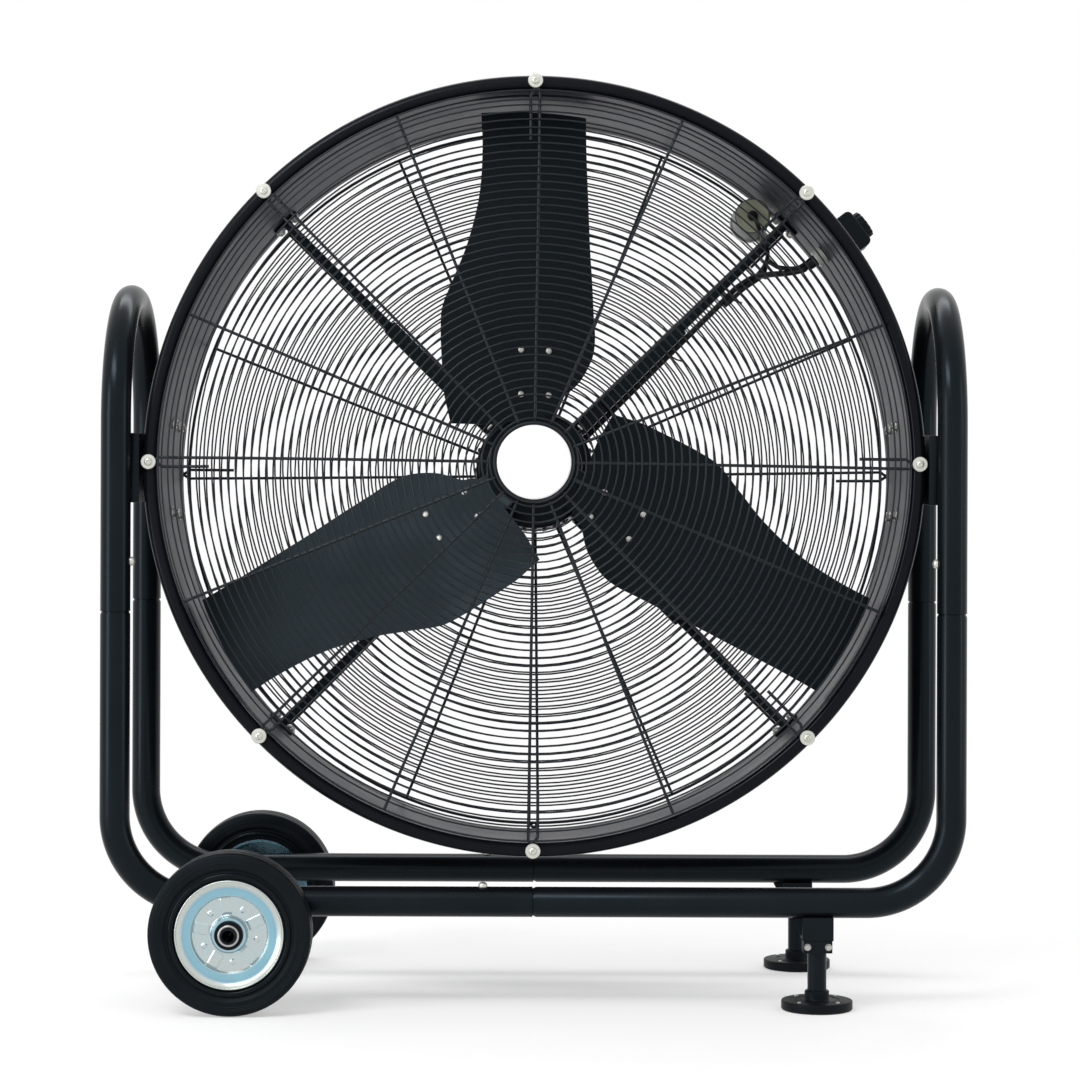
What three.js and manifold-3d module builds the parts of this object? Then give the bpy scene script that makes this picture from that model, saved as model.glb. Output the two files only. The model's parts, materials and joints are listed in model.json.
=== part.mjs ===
// A wheeled drum fan: a tilting steel drum with a three-blade rotor, in a stand of bent tube
// with two wheels on the left and two feet on the right.
// Millimetres. +X to the right, +Y to the back, +Z up. The air leaves towards -Y.
// The origin is on the floor, under the middle of the stand.

import * as THREE from 'three';
import { mergeVertices } from 'three/addons/utils/BufferGeometryUtils.js';
import Module from 'manifold-3d';

const wasm = await Module();
wasm.setup();

// ---- Clearances ----
const seatGap = 0.3;              // between pieces that touch
const boreGap = 0.3;              // radial, between a round piece and its bore
const overrun = 1;                // how far a cutter, or a piece that is joined on, goes past a face

// ---- Drum ----
const drumRadius = 480;
const drumWall = 2;
const drumDepth = 318;
const drumAhead = 192;            // pivot to the drum's front edge
const beadHeight = 16;            // rolled edge, both radially and along the axis
const beadRound = 5;
const beadLead = 2;               // bevel between the drum's inner wall and its edges
const drumFront = -drumAhead;
const drumRear = drumDepth - drumAhead;
const drumInner = drumRadius - drumWall;

// ---- Wheels ----
const wheelRadius = 102;
const wheelWidth = 50;
const wheelInset = 45;            // axle to the start of the rail's bend
const wheelOffset = 53.5;         // leg axis to the wheel's middle plane
const axleRadius = 10;
const axleWall = 2.5;
const beadInset = 5;              // wheel's face to the tyre's bead
const treadShoulder = 9;
const sidewallStep = 4;           // depth of the groove between tyre and rim flange
const rimRadius = 68;
const rimWall = 3;
const rimDishRadius = 49;
const rimDishDepth = 12;          // wheel's face to the rim's disc
const rimDiscThickness = 6;
const bossRadius = 21;
const bossSink = 3;               // wheel's face to the boss
const bushingRadius = 18;
const bushingStep = 2;            // flange to the bushing's body, radially
const bushingFlange = 3;
const washerRadius = 13.5;
const washerThickness = 2.5;
const axleEnd = 4;                // how far the axle stands out of its washer
const axleBracketWidth = 40;
const axleBracketDepth = 24;

// ---- Stand ----
const tubeRadius = 19;
const tubeWall = 1.6;
const standHalfDepth = 163;       // middle to leg axis
const axleToRail = 32;            // axle up to the rails' axis
const railHeight = wheelRadius + axleToRail;
const cornerRadius = 107;         // bend between leg and rail, at the tube's axis
const spigotLength = 90;
const swageLength = 4;            // cone between the tube and its spigot
const swageCollar = 3;            // how far the spigot's root goes into the tube's wall

// ---- Pivot and crossbars ----
const drumClearance = 27;         // top of the rails to the drum's rolled edge
const pivotHeight = railHeight + tubeRadius + drumClearance + beadHeight + drumRadius;
const jointDrop = 177;            // pivots down to where the rails' legs meet the arches
const jointHeight = pivotHeight - jointDrop;
const pivotDepth = 41;            // behind the middle of the stand, under the drum's balance
const tiltDegrees = 3.4;          // the drum faces this much upwards at rest
const crossbarStandoff = 19.6;    // drum's wall to the crossbar's inner face
const crossbarInner = drumRadius + crossbarStandoff;
const crossbarHeight = 88;
const crossbarRise = 4;           // crossbar's middle above the pivots
const crossbarWall = 4;
const crossbarShort = 7;          // crossbar's end to the leg's axis
const crossbarReach = standHalfDepth - crossbarShort;
const crossbarFlange = 30;
const legSeat = 28.4;             // crossbar's inner face to the leg's axis
const standHalfWidth = crossbarInner + legSeat;
const archRise = 60;              // pivots up to the centre of the arch's half circle
const archHeight = pivotHeight + archRise;
const pivotBoltRadius = 8;
const boltHeadRadius = 14;
const boltHeadThickness = 10;
const wheelX = -(standHalfWidth - cornerRadius - wheelInset);

// ---- Feet ----
const footInset = 62;             // foot's axis to the start of the rail's bend
const footX = standHalfWidth - cornerRadius - footInset;
const footRadius = 45;
const footThickness = 12;
const footCollarRadius = 15.5;
const footCollarHeight = 12;
const postRadius = 12;
const postWall = 2;
const postSocket = 21;            // how far the post goes up into its bracket
const clampHeight = 15;
const clampWidth = 36;
const footBoxDrop = 27;           // underside of the rail to the clamp
const clampTop = railHeight - tubeRadius - footBoxDrop;
const footBoxWidth = 39;
const footBoxDepth = 34;
const footSaddle = 2;             // how far the bracket's sides come up round the rail
const gussetReach = 13;
const gussetThickness = 5;
const gussetRise = 5;             // clamp to the gusset's lower corner

// ---- Pivot plates on the drum ----
const plateBoltSpan = 78;
const plateFootAngle = 7;         // degrees round the drum from the pivot to the plate's feet
const plateFootWidth = 26;
const plateWall = 4;
const plateEdge = 15;             // bolt to the plate's end
const plateCrown = 34;            // half height of the flat crown
const plateFootBend = 1.5;        // the inner face's bends lie this much farther in than the
const plateCrownBend = 2.5;       // outer face's, at the foot and at the crown
const weldNutRadius = 14;
const weldNutLength = 11;

// ---- Guards ----
const guardThickness = 4;
const guardInset = 4;             // drum's outside to the front guard's rim
const guardRadius = drumRadius - guardInset;
const rearGuardRadius = drumRadius + beadHeight / 2;
const guardSpokes = 16;
const spokeWidth = 4.5;
const ringWidth = 3.5;
const guardRim = 5;
const badgeRadius = 47.5;
const badgeThickness = 3;
const badgeRound = 4;
const badgeSeatRadius = 58;
const frontRings = 4;
const rearRings = 4;
const rearHubRadius = 60;
const straightRingRadius = 200;   // rings inside this run straight between their spokes
const frontDome = 20;             // how far the guards' middles stand out
const rearDome = 14;
const guardScrews = 8;
const guardScrewCircle = drumRadius + beadHeight / 2;
const guardScrewRadius = 3;
const loopWidth = 14;             // wire eye that each guard screw goes through
const loopLength = 33;
const loopInner = guardScrewCircle - loopLength;
const guardWasherRadius = 9.5;
const guardWasherThickness = 2;
const guardScrewHeadRadius = 5;
const guardScrewHead = 4;
const guardScrewRound = 2;
const guardScrewLength = 14;

// ---- Motor and struts ----
const motorRearGap = 16;          // drum's rear edge to the motor
const motorRadius = 80;
const motorLength = 140;
const motorBell = 12;             // rounded end shields
const bellStep = 6;
const motorFront = drumRear - motorRearGap - motorLength;
const motorRear = motorFront + motorLength;
const shaftRadius = 9.5;
const shaftSink = 50;             // how far the shaft goes into the motor
const strutInset = 60;            // drum's rear edge to the struts
const strutPlane = drumRear - strutInset;
const strutWidth = 12;
const sleeveWidth = 20;
const sleeveEnd = 278;            // radius at which the strut comes out of its sleeve
const strutMotorFoot = 60;        // along the drum's axis
const strutFootWidth = 40;
const strutFootThickness = 4;
const strutAngles = { upper_right: 45, upper_left: 135, lower_left: 225, lower_right: 315 };

// ---- Rotor ----
const fanAhead = 50;              // motor to the middle of the blades
const fanPlane = motorFront - fanAhead;
const tipClearance = 12;
const bladeTipRadius = drumInner - tipClearance;
const bladeThickness = 2.5;
const bladeRootPitch = 26;        // degrees
const bladeTipPitch = 18;
const bladeCamber = 6;
const bladeCount = 3;
const hubRadius = 62;
const hubPlate = 6;
const bladeRootDip = 8;           // the blade's trailing corner, inside the hub plate's radius
const bossOuter = 28;
const bossFront = 22;
const bossBack = 34;
const shaftEnd = 2;               // how far the shaft stands out of the boss
const armWidth = 56;
const armReach = 172;
const armThickness = 5;
const armMargin = 8;              // the blade stays flat this far past its arm
const bladeFlatRadius = armReach + armMargin;

// ---- Switch, gland, cable, capacitor ----
const switchAngle = 37;           // degrees up from the right
const switchBehind = 60;          // blades to the switch's axis
const switchPlane = fanPlane + switchBehind;
const switchWidth = 52;
const switchLength = 60;
const switchHeight = 56;
const switchTop = drumRadius + switchHeight;
const switchCorner = 7;
const switchWall = 3;
const knobRadius = 19;
const knobHeight = 11;
const knobRibs = 12;
const knobRibDepth = 1.5;
const spindleRadius = 4;
const spindleSink = 11;           // how far the spindle goes into the box
const glandRadius = 12;
const glandShank = 8;
const glandShankSink = 10;        // how far the gland's shank stands out of the drum
const glandLength = 27;
const cableRadius = 4;
const cableSink = 2;              // end of the cable's lead to the drum's wall
const capacitorRadius = 23.5;
const capacitorLength = 100;
const capacitorRound = 2;
const capacitorWallGap = 10.5;
const capacitorCircle = drumInner - capacitorWallGap - capacitorRadius;
const capacitorAngle = 49.6;
const capacitorLead = 87;         // capacitor's front end to the struts' plane
const capacitorFront = strutPlane - capacitorLead;
const clipWidth = 12;
const clipThickness = 2.5;
const clipFoot = 16;

// ---- Materials ----
const finish = (color, roughness, metalness) =>
  new THREE.MeshStandardMaterial({ color, roughness, metalness });
const paint = () => finish(0x15171b, 0.42, 0.25);
const drumPaint = () => finish(0x3c3b44, 0.5, 0.25);
const wire = () => finish(0x0e0f12, 0.4, 0.3);
const bladePaint = () => finish(0x1b1d21, 0.5, 0.2);
const rubber = () => finish(0x191a1d, 0.75, 0);
const zinc = () => finish(0xc3cfd6, 0.3, 0.9);
const steel = () => finish(0xd0d0c8, 0.35, 0.8);
const blackPlastic = () => finish(0x0d0d0f, 0.5, 0);
const greyPlastic = () => finish(0x9a9c95, 0.5, 0);
const capacitorPlastic = () => finish(0xa8a797, 0.5, 0);
const whitePlastic = () => finish(0xf0f0ee, 0.4, 0);
const cableJacket = () => finish(0x0b0b0c, 0.6, 0);

// ---- Geometry helpers ----

// A geometry with merged corners, no empty triangles and its faces pointing out.
function closed(geometry) {
  const bare = geometry.clone();
  bare.deleteAttribute('normal');
  bare.deleteAttribute('uv');
  const merged = mergeVertices(bare, 1e-4);
  const index = merged.index.array;
  const at = (i) => new THREE.Vector3().fromBufferAttribute(merged.attributes.position, i);
  const kept = [];
  let volume = 0;
  for (let i = 0; i < index.length; i += 3) {
    const [a, b, c] = [index[i], index[i + 1], index[i + 2]];
    if (a === b || b === c || a === c) continue;
    kept.push(a, b, c);
    volume += at(a).dot(at(b).cross(at(c)));
  }
  if (volume < 0) kept.reverse();
  merged.setIndex(kept);
  return merged;
}

function toSolid(geometry) {
  const mesh = closed(geometry);
  return new wasm.Manifold(new wasm.Mesh({
    numProp: 3,
    vertProperties: new Float32Array(mesh.attributes.position.array),
    triVerts: new Uint32Array(mesh.index.array),
  }));
}

function fromSolid(solid) {
  const mesh = solid.getMesh();
  const geometry = new THREE.BufferGeometry();
  geometry.setAttribute('position', new THREE.BufferAttribute(mesh.vertProperties, 3));
  geometry.setIndex([...mesh.triVerts]);
  return geometry;
}

const join = (first, ...others) =>
  fromSolid(others.reduce((sum, g) => sum.add(toSolid(g)), toSolid(first)));
const cut = (first, ...tools) =>
  fromSolid(tools.reduce((rest, g) => rest.subtract(toSolid(g)), toSolid(first)));

// Round pieces have a corner straight up, as LatheGeometry does.
function circle(radius, sides, turn = 0) {
  return Array.from({ length: sides }, (_, i) => {
    const angle = turn + (i * 2 * Math.PI) / sides;
    return new THREE.Vector2(-radius * Math.sin(angle), radius * Math.cos(angle));
  });
}

function outline(points, ...holes) {
  const shape = new THREE.Shape(points);
  shape.holes = holes.map((hole) => new THREE.Path(hole));
  return shape;
}

const slab = (shape, depth) => new THREE.ExtrudeGeometry(shape, { depth, bevelEnabled: false });

// A box between two corners.
function box(low, high) {
  const size = high.map((value, i) => value - low[i]);
  const middle = high.map((value, i) => (value + low[i]) / 2);
  return new THREE.BoxGeometry(...size).translate(...middle);
}

// A round bar or, with a bore, a sleeve along Y, Z or X from one place to another.
function bar(axis, from, to, radius, sides, bore = 0) {
  const shape = outline(circle(radius, sides), ...(bore ? [circle(bore, sides)] : []));
  const geometry = slab(shape, to - from).translate(0, 0, from);
  if (axis === 'x') return geometry.rotateY(Math.PI / 2);
  if (axis === 'y') return geometry.rotateX(-Math.PI / 2);
  return geometry;
}

// A closed profile of [radius, place along Y], turned about the Y axis.
const turned = (profile, sides) =>
  new THREE.LatheGeometry([...profile, profile[0]].map(([r, y]) => new THREE.Vector2(r, y)), sides);

// A path whose sections stand only at the given places, each with its direction.
class Route extends THREE.Curve {
  constructor(places) {
    super();
    this.places = places;
  }

  place(t) {
    return this.places[Math.round(t * (this.places.length - 1))];
  }

  getPointAt(t) {
    return this.place(t).point.clone();
  }

  getTangentAt(t) {
    return this.place(t).direction.clone().normalize();
  }
}

function sweep(shape, places) {
  const steps = places.length - 1;
  return new THREE.ExtrudeGeometry(shape, { steps, extrudePath: new Route(places), bevelEnabled: false });
}

// Places on an arc about a centre, from one angle to another, in the plane of u and v.
function arc(centre, radius, u, v, from, to, steps) {
  return Array.from({ length: steps + 1 }, (_, i) => {
    const angle = THREE.MathUtils.degToRad(from + ((to - from) * i) / steps);
    const sense = Math.sign(to - from);
    const point = centre.clone()
      .addScaledVector(u, radius * Math.cos(angle))
      .addScaledVector(v, radius * Math.sin(angle));
    const direction = new THREE.Vector3()
      .addScaledVector(u, -sense * Math.sin(angle))
      .addScaledVector(v, sense * Math.cos(angle));
    return { point, direction };
  });
}

const vec = (x, y, z) => new THREE.Vector3(x, y, z);
const along = { x: vec(1, 0, 0), y: vec(0, 1, 0), z: vec(0, 0, 1) };
const radians = THREE.MathUtils.degToRad;

const fan = new THREE.Group();

function add(group, name, geometry, material) {
  const mesh = new THREE.Mesh(closed(geometry), material);
  mesh.name = name;
  group.add(mesh);
  return mesh;
}

// ---- Stand of bent tube ----
const tubeSides = 12;
const holeSides = 16;
const tubeBore = tubeRadius - tubeWall;
const tubeCopeRadius = (tubeRadius + seatGap) / Math.cos(Math.PI / tubeSides);
const spigotRadius = tubeBore - boreGap;
const tubeSection = () => outline(circle(tubeRadius, tubeSides), circle(tubeBore, tubeSides));

// An inverted U: leg, half circle, leg.
function arch(side) {
  const x = side * standHalfWidth;
  const foot = jointHeight + seatGap;
  const top = arc(vec(x, 0, archHeight), standHalfDepth, along.y, along.z, 180, 0, 12);
  const start = { point: vec(x, -standHalfDepth, foot), direction: along.z };
  const end = { point: vec(x, standHalfDepth, foot), direction: vec(0, 0, -1) };
  return sweep(tubeSection(), [start, ...top, end]);
}

// The reduced end of a tube, turned about Z, with its shoulder cone below zero.
function spigot() {
  const inner = spigotRadius - tubeWall;
  const seat = (tubeRadius + tubeBore) / 2;
  const profile = [[inner, -swageLength - swageCollar], [seat, -swageLength - swageCollar],
    [seat, -swageLength], [tubeRadius, -swageLength], [spigotRadius, 0],
    [spigotRadius, spigotLength], [inner, spigotLength]];
  return turned(profile, tubeSides).rotateX(Math.PI / 2);
}

// Leg, bend and half a rail. Right rails have a second spigot that enters the left rail.
function rail(side, depthSide) {
  const x = side * standHalfWidth;
  const y = depthSide * standHalfDepth;
  const bendX = x - side * cornerRadius;
  const bendZ = railHeight + cornerRadius;
  const bend = arc(vec(bendX, y, bendZ), cornerRadius, vec(side, 0, 0), vec(0, 0, -1), 0, 90, 6);
  const legTop = { point: vec(x, y, jointHeight - swageLength), direction: vec(0, 0, -1) };
  const hasSpigot = side > 0;
  const railEnd = hasSpigot ? swageLength + seatGap / 2 : -seatGap / 2;
  const end = { point: vec(railEnd, y, railHeight), direction: vec(-side, 0, 0) };
  const tube = sweep(tubeSection(), [legTop, ...bend, end]);
  const legSpigot = spigot().translate(x, y, jointHeight);
  if (!hasSpigot) return join(tube, legSpigot);
  const railSpigot = spigot().rotateY(-Math.PI / 2).translate(seatGap / 2, y, railHeight);
  return join(tube, legSpigot, railSpigot);
}

function addTubes() {
  for (const [name, side] of [['left', -1], ['right', 1]]) {
    add(fan, `${name}_arch`, arch(side), paint());
    add(fan, `front_${name}_rail`, rail(side, -1), paint());
    add(fan, `rear_${name}_rail`, rail(side, 1), paint());
  }
}

// ---- Crossbars and pivot bolts ----

// A tray, open to the outside, with closed ends that are coped round the two legs.
function crossbar(side) {
  const inner = crossbarInner;
  const outer = crossbarInner + crossbarFlange;
  const half = crossbarHeight / 2;
  const webOuter = inner + crossbarWall;
  const lip = half - crossbarWall;
  const end = crossbarReach - crossbarWall;
  const middle = pivotHeight + crossbarRise;
  const blank = box([inner, -crossbarReach, middle - half], [outer, crossbarReach, middle + half]);
  const pocket = box([webOuter, -end, middle - lip], [outer + overrun, end, middle + lip]);
  const legs = [-1, 1].map((way) => bar('z', pivotHeight - crossbarHeight, pivotHeight + crossbarHeight,
    tubeCopeRadius, tubeSides).translate(standHalfWidth, way * standHalfDepth, 0));
  const hole = bar('x', inner - overrun, webOuter + overrun, pivotBoltRadius + boreGap, holeSides)
    .translate(0, pivotDepth, pivotHeight);
  const right = cut(blank, pocket, ...legs, hole);
  return side > 0 ? right : right.applyMatrix4(new THREE.Matrix4().makeScale(-1, 1, 1));
}

// Hex head and washer in the channel, shank through the web into the drum's pivot plate.
function pivotBolt(side) {
  const seat = crossbarInner + crossbarWall + seatGap;
  const tip = crossbarInner - plateWall - weldNutLength + overrun;
  const head = bar('x', seat, seat + boltHeadThickness, boltHeadRadius, 6);
  const shank = bar('x', tip, seat + overrun, pivotBoltRadius, holeSides);
  const bolt = join(head, shank).translate(0, pivotDepth, pivotHeight);
  return side > 0 ? bolt : bolt.applyMatrix4(new THREE.Matrix4().makeScale(-1, 1, 1));
}

function addCrossbars() {
  for (const [name, side] of [['left', -1], ['right', 1]]) {
    add(fan, `${name}_crossbar`, crossbar(side), paint());
    add(fan, `${name}_pivot_bolt`, pivotBolt(side), steel());
  }
}

// ---- Wheels and axle ----
const wheelY = standHalfDepth + wheelOffset;
const wheelFace = wheelWidth / 2;
const wheelSides = 24;
const washerSeat = wheelFace + bushingFlange + 2 * seatGap;

// A saddle under the rail with a bore for the axle.
function axleBracket(depthSide) {
  const y = depthSide * standHalfDepth;
  const half = axleBracketDepth / 2;
  const below = wheelRadius - 2 * axleRadius;
  const body = box([wheelX - axleBracketWidth / 2, y - half, below],
    [wheelX + axleBracketWidth / 2, y + half, railHeight]);
  const railCut = bar('x', wheelX - axleBracketWidth, wheelX + axleBracketWidth, tubeCopeRadius, tubeSides)
    .translate(0, y, railHeight);
  const bore = bar('y', -axleBracketDepth, axleBracketDepth, axleRadius + boreGap, holeSides)
    .translate(wheelX, y, wheelRadius);
  return cut(body, railCut, bore);
}

function axle() {
  const end = wheelY + washerSeat + washerThickness + axleEnd;
  return bar('y', -end, end, axleRadius, holeSides, axleRadius - axleWall)
    .translate(wheelX, 0, wheelRadius);
}

// The wheel's own axis is Y, and its outer face looks along -Y.
function tyre() {
  const bead = rimRadius - rimWall + seatGap;
  const half = wheelFace;
  const side = half - treadShoulder;
  const groove = rimRadius + beadLead;
  const wall = rimRadius + treadShoulder;
  const crown = wheelRadius - overrun;
  return turned([[bead, half - beadInset], [bead, beadInset - half], [groove, sidewallStep - half],
    [wall, -half], [wheelRadius - treadShoulder, -half], [crown, -side], [wheelRadius, 0], [crown, side],
    [wheelRadius - treadShoulder, half], [wall, half], [groove, half - sidewallStep]], wheelSides);
}

// Barrel, outer flange, stepped disc, and a boss that the bushing goes through.
function rim() {
  const half = wheelFace;
  const barrel = rimRadius - rimWall;
  const inner = barrel - rimWall;
  const web = rimDishRadius - rimWall;
  const bore = bushingRadius - bushingStep + boreGap;
  const back = half - beadInset + seatGap;
  const [front, bossFace] = [rimDishDepth - half, bossSink - half];
  const rear = front + rimDiscThickness;
  const flange = bossFace - bushingStep;
  return turned([[barrel, -back], [barrel, back], [inner, back], [inner, rear], [bossRadius, rear],
    [bossRadius, half - rimDiscThickness], [bore, half - rimDiscThickness], [bore, bossFace],
    [bossRadius, bossFace], [bossRadius + rimWall, front], [web, front], [rimDishRadius, beadInset - half],
    [inner, bossFace], [rimRadius, flange], [rimRadius + seatGap, bossFace]], wheelSides);
}

function bushing() {
  const bore = axleRadius + boreGap;
  const body = bushingRadius - bushingStep;
  const seat = bossSink - wheelFace - seatGap;
  const end = wheelFace - bushingStep;
  return turned([[bore, -wheelFace - bushingFlange], [bushingRadius, -wheelFace - bushingFlange],
    [bushingRadius, seat], [body, seat], [body, end], [bore, end]], holeSides);
}

const washer = () => bar('y', -washerSeat - washerThickness, -washerSeat, washerRadius, holeSides,
  axleRadius + boreGap);

function addWheels() {
  add(fan, 'front_axle_bracket', axleBracket(-1), paint());
  add(fan, 'rear_axle_bracket', axleBracket(1), paint());
  add(fan, 'wheel_axle', axle(), paint());
  for (const [name, side] of [['front', -1], ['rear', 1]]) {
    const wheel = new THREE.Group();
    wheel.position.set(wheelX, side * wheelY, wheelRadius);
    wheel.rotation.z = side > 0 ? Math.PI : 0;
    add(wheel, `${name}_tyre`, tyre(), rubber());
    add(wheel, `${name}_rim`, rim(), zinc());
    add(wheel, `${name}_wheel_bushing`, bushing(), blackPlastic());
    add(wheel, `${name}_axle_washer`, washer(), steel());
    fan.add(wheel);
  }
}

// ---- Feet ----
const postTop = clampTop + postSocket;

// A box under the rail with a gusset on its left and a socket for the post.
function footBracket() {
  const [halfWidth, halfDepth] = [footBoxWidth / 2, footBoxDepth / 2];
  const top = railHeight - tubeRadius + footSaddle;
  const body = box([-halfWidth, -halfDepth, clampTop], [halfWidth, halfDepth, top]);
  const [tip, root] = [-halfWidth - gussetReach, overrun - halfWidth];
  const plate = outline([[tip, railHeight], [tip, railHeight - tubeRadius],
    [-halfWidth - overrun, clampTop + gussetRise], [root, clampTop + gussetRise], [root, railHeight]]
    .map(([x, z]) => new THREE.Vector2(x, z)));
  const gusset = slab(plate, gussetThickness).rotateX(Math.PI / 2).translate(0, gussetThickness / 2, 0);
  const railCut = bar('x', -2 * footBoxWidth, 2 * footBoxWidth, tubeCopeRadius, tubeSides)
    .translate(0, 0, railHeight);
  const socket = bar('z', clampTop - overrun, postTop + seatGap, postRadius + boreGap, tubeSides);
  return cut(join(body, gusset), railCut, socket);
}

function footClamp() {
  const half = clampWidth / 2;
  const depth = footBoxDepth / 2;
  const [low, high] = [clampTop - seatGap - clampHeight, clampTop - seatGap];
  const socket = bar('z', low - overrun, high + overrun, postRadius + boreGap, tubeSides);
  return cut(box([-half, -depth, low], [half, depth, high]), socket);
}

const footPost = () => bar('z', footThickness + seatGap, postTop, postRadius, tubeSides,
  postRadius - postWall);

function footBase() {
  const collar = bar('z', footThickness - overrun, footThickness + footCollarHeight, footCollarRadius,
    wheelSides, postRadius + boreGap);
  return join(bar('z', 0, footThickness, footRadius, wheelSides), collar);
}

function addFeet() {
  for (const [name, side] of [['front', -1], ['rear', 1]]) {
    const foot = new THREE.Group();
    foot.position.set(footX, side * standHalfDepth, 0);
    add(foot, `${name}_foot_bracket`, footBracket(), paint());
    add(foot, `${name}_foot_clamp`, footClamp(), paint());
    add(foot, `${name}_foot_post`, footPost(), paint());
    add(foot, `${name}_foot_base`, footBase(), blackPlastic());
    fan.add(foot);
  }
}

// ---- Drum: its own axis is Y, its front faces -Y and its pivots lie on X through the origin ----
const drumSides = 60;
const screwSides = 8;
const wallFlat = drumInner * Math.cos(Math.PI / drumSides) - seatGap;
const frontGuardFace = drumFront - seatGap - guardThickness;
const rearGuardFace = drumRear + seatGap;
const guardScrewTip = frontGuardFace - seatGap + guardScrewLength;

const drum = new THREE.Group();
drum.position.set(0, pivotDepth, pivotHeight);
drum.rotation.x = -radians(tiltDegrees);
fan.add(drum);

// Turns a piece made at the right-hand side to an angle counted up from the right.
const swing = (geometry, degrees) => geometry.rotateY(-radians(degrees));

function drumShell() {
  const top = drumRadius + beadHeight;
  const bead = (edge, inward) => [[drumRadius + beadLead, edge], [top - beadRound, edge],
    [top, edge + inward * beadRound], [top, edge + inward * (beadHeight - beadRound)],
    [top - beadRound, edge + inward * beadHeight], [drumRadius, edge + inward * beadHeight]];
  const shell = turned([[drumInner, drumFront + beadLead], ...bead(drumFront, 1),
    ...bead(drumRear, -1).reverse(), [drumInner, drumRear - beadLead]], drumSides);
  const glandHole = bar('x', wallFlat - overrun, drumRadius + overrun, glandShank + boreGap, tubeSides)
    .translate(0, switchPlane, 0);
  const screwHoles = guardScrewPlaces((place) =>
    bar('y', drumFront - overrun, guardScrewTip + seatGap, guardScrewRadius + boreGap, screwSides)
      .translate(place, 0, 0));
  return cut(shell, swing(glandHole, switchAngle), ...screwHoles);
}

// A hat-shaped plate: two feet on the drum, a flat crown in front of the crossbar, a weld nut.
function pivotPlate(side) {
  const crown = crossbarInner - seatGap;
  const angle = radians(plateFootAngle);
  const footAt = (lift, across) => [
    (drumRadius + seatGap + lift) * Math.cos(angle) - across * Math.sin(angle),
    (drumRadius + seatGap + lift) * Math.sin(angle) + across * Math.cos(angle)];
  const half = plateFootWidth / 2;
  const upper = [[crown, plateCrown], footAt(plateWall, -half), footAt(plateWall, half),
    footAt(0, half), footAt(0, -half - plateFootBend), [crown - plateWall, plateCrown - plateCrownBend]];
  const lower = upper.map(([x, z]) => [x, -z]).reverse();
  const section = outline([...upper, ...lower].map(([x, z]) => new THREE.Vector2(x, z)));
  const length = plateBoltSpan + 2 * plateEdge;
  const hat = slab(section, length).translate(0, 0, -length / 2).rotateX(Math.PI / 2);
  const nutEnd = crown - plateWall - weldNutLength;
  const nut = bar('x', nutEnd, crown - overrun, weldNutRadius, tubeSides);
  const bore = bar('x', nutEnd - overrun, crown + overrun, pivotBoltRadius + boreGap, holeSides);
  return swing(cut(join(hat, nut), bore), side > 0 ? 0 : 180);
}

// ---- Guards ----
function guardScrewPlaces(make) {
  return Array.from({ length: guardScrews }, (_, i) =>
    swing(make(guardScrewCircle), 90 - (i * 360) / guardScrews));
}

// The gap between two spokes and two rings.
function guardGap(inner, outer, spoke) {
  const step = (2 * Math.PI) / guardSpokes;
  const row = (radius) => {
    const side = Math.asin(spokeWidth / 2 / radius);
    const middle = radius > straightRingRadius ? [(spoke + 0.5) * step] : [];
    return [spoke * step + side, ...middle, (spoke + 1) * step - side]
      .map((angle) => new THREE.Vector2(radius * Math.cos(angle), radius * Math.sin(angle)));
  };
  return [...row(outer), ...row(inner).reverse()];
}

// Raises a grille's middle. What lies past the screws' eyes stays flat.
function domed(geometry, dome) {
  const place = geometry.attributes.position;
  for (let i = 0; i < place.count; i += 1) {
    const share = Math.min(1, Math.hypot(place.getX(i), place.getY(i)) / loopInner);
    place.setZ(i, place.getZ(i) + dome * (1 - share ** 4));
  }
  return geometry;
}

// A flat grille of spokes and rings between its hub and its rim.
function grille(radius, hub, rings, hubHole) {
  const last = radius - guardRim;
  const gaps = [];
  for (let ring = 0; ring < rings; ring += 1) {
    const inner = hub + ((last - hub) * ring) / rings;
    const outer = hub + ((last - hub) * (ring + 1)) / rings - (ring < rings - 1 ? ringWidth : 0);
    for (let spoke = 0; spoke < guardSpokes; spoke += 1) gaps.push(guardGap(inner, outer, spoke));
  }
  if (hubHole) gaps.push(circle(hubHole, guardSpokes));
  return slab(outline(circle(radius, 2 * guardSpokes), ...gaps), guardThickness);
}

// The front grille has a wire eye for each guard screw.
function frontGuard() {
  const eye = (half) => [[loopInner - half, -half], [guardScrewCircle, -half],
    ...[-45, 0, 45].map((turn) => [guardScrewCircle + half * Math.cos(radians(turn)),
      half * Math.sin(radians(turn))]), [guardScrewCircle, half], [loopInner - half, half]]
    .map(([x, y]) => new THREE.Vector2(x, y));
  const eyes = Array.from({ length: guardScrews }, (_, i) =>
    slab(outline(eye(loopWidth / 2), eye(loopWidth / 2 - ringWidth)), guardThickness)
      .rotateZ((i * 2 * Math.PI) / guardScrews));
  return domed(join(grille(guardRadius, badgeSeatRadius, frontRings, 0), ...eyes), -frontDome)
    .rotateX(-Math.PI / 2).translate(0, frontGuardFace, 0);
}

// The rear grille's rim lies on the drum's rolled edge.
function rearGuard() {
  return domed(grille(rearGuardRadius, rearHubRadius, rearRings, rearHubRadius - guardRim), rearDome)
    .rotateX(-Math.PI / 2).translate(0, rearGuardFace, 0);
}

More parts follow.
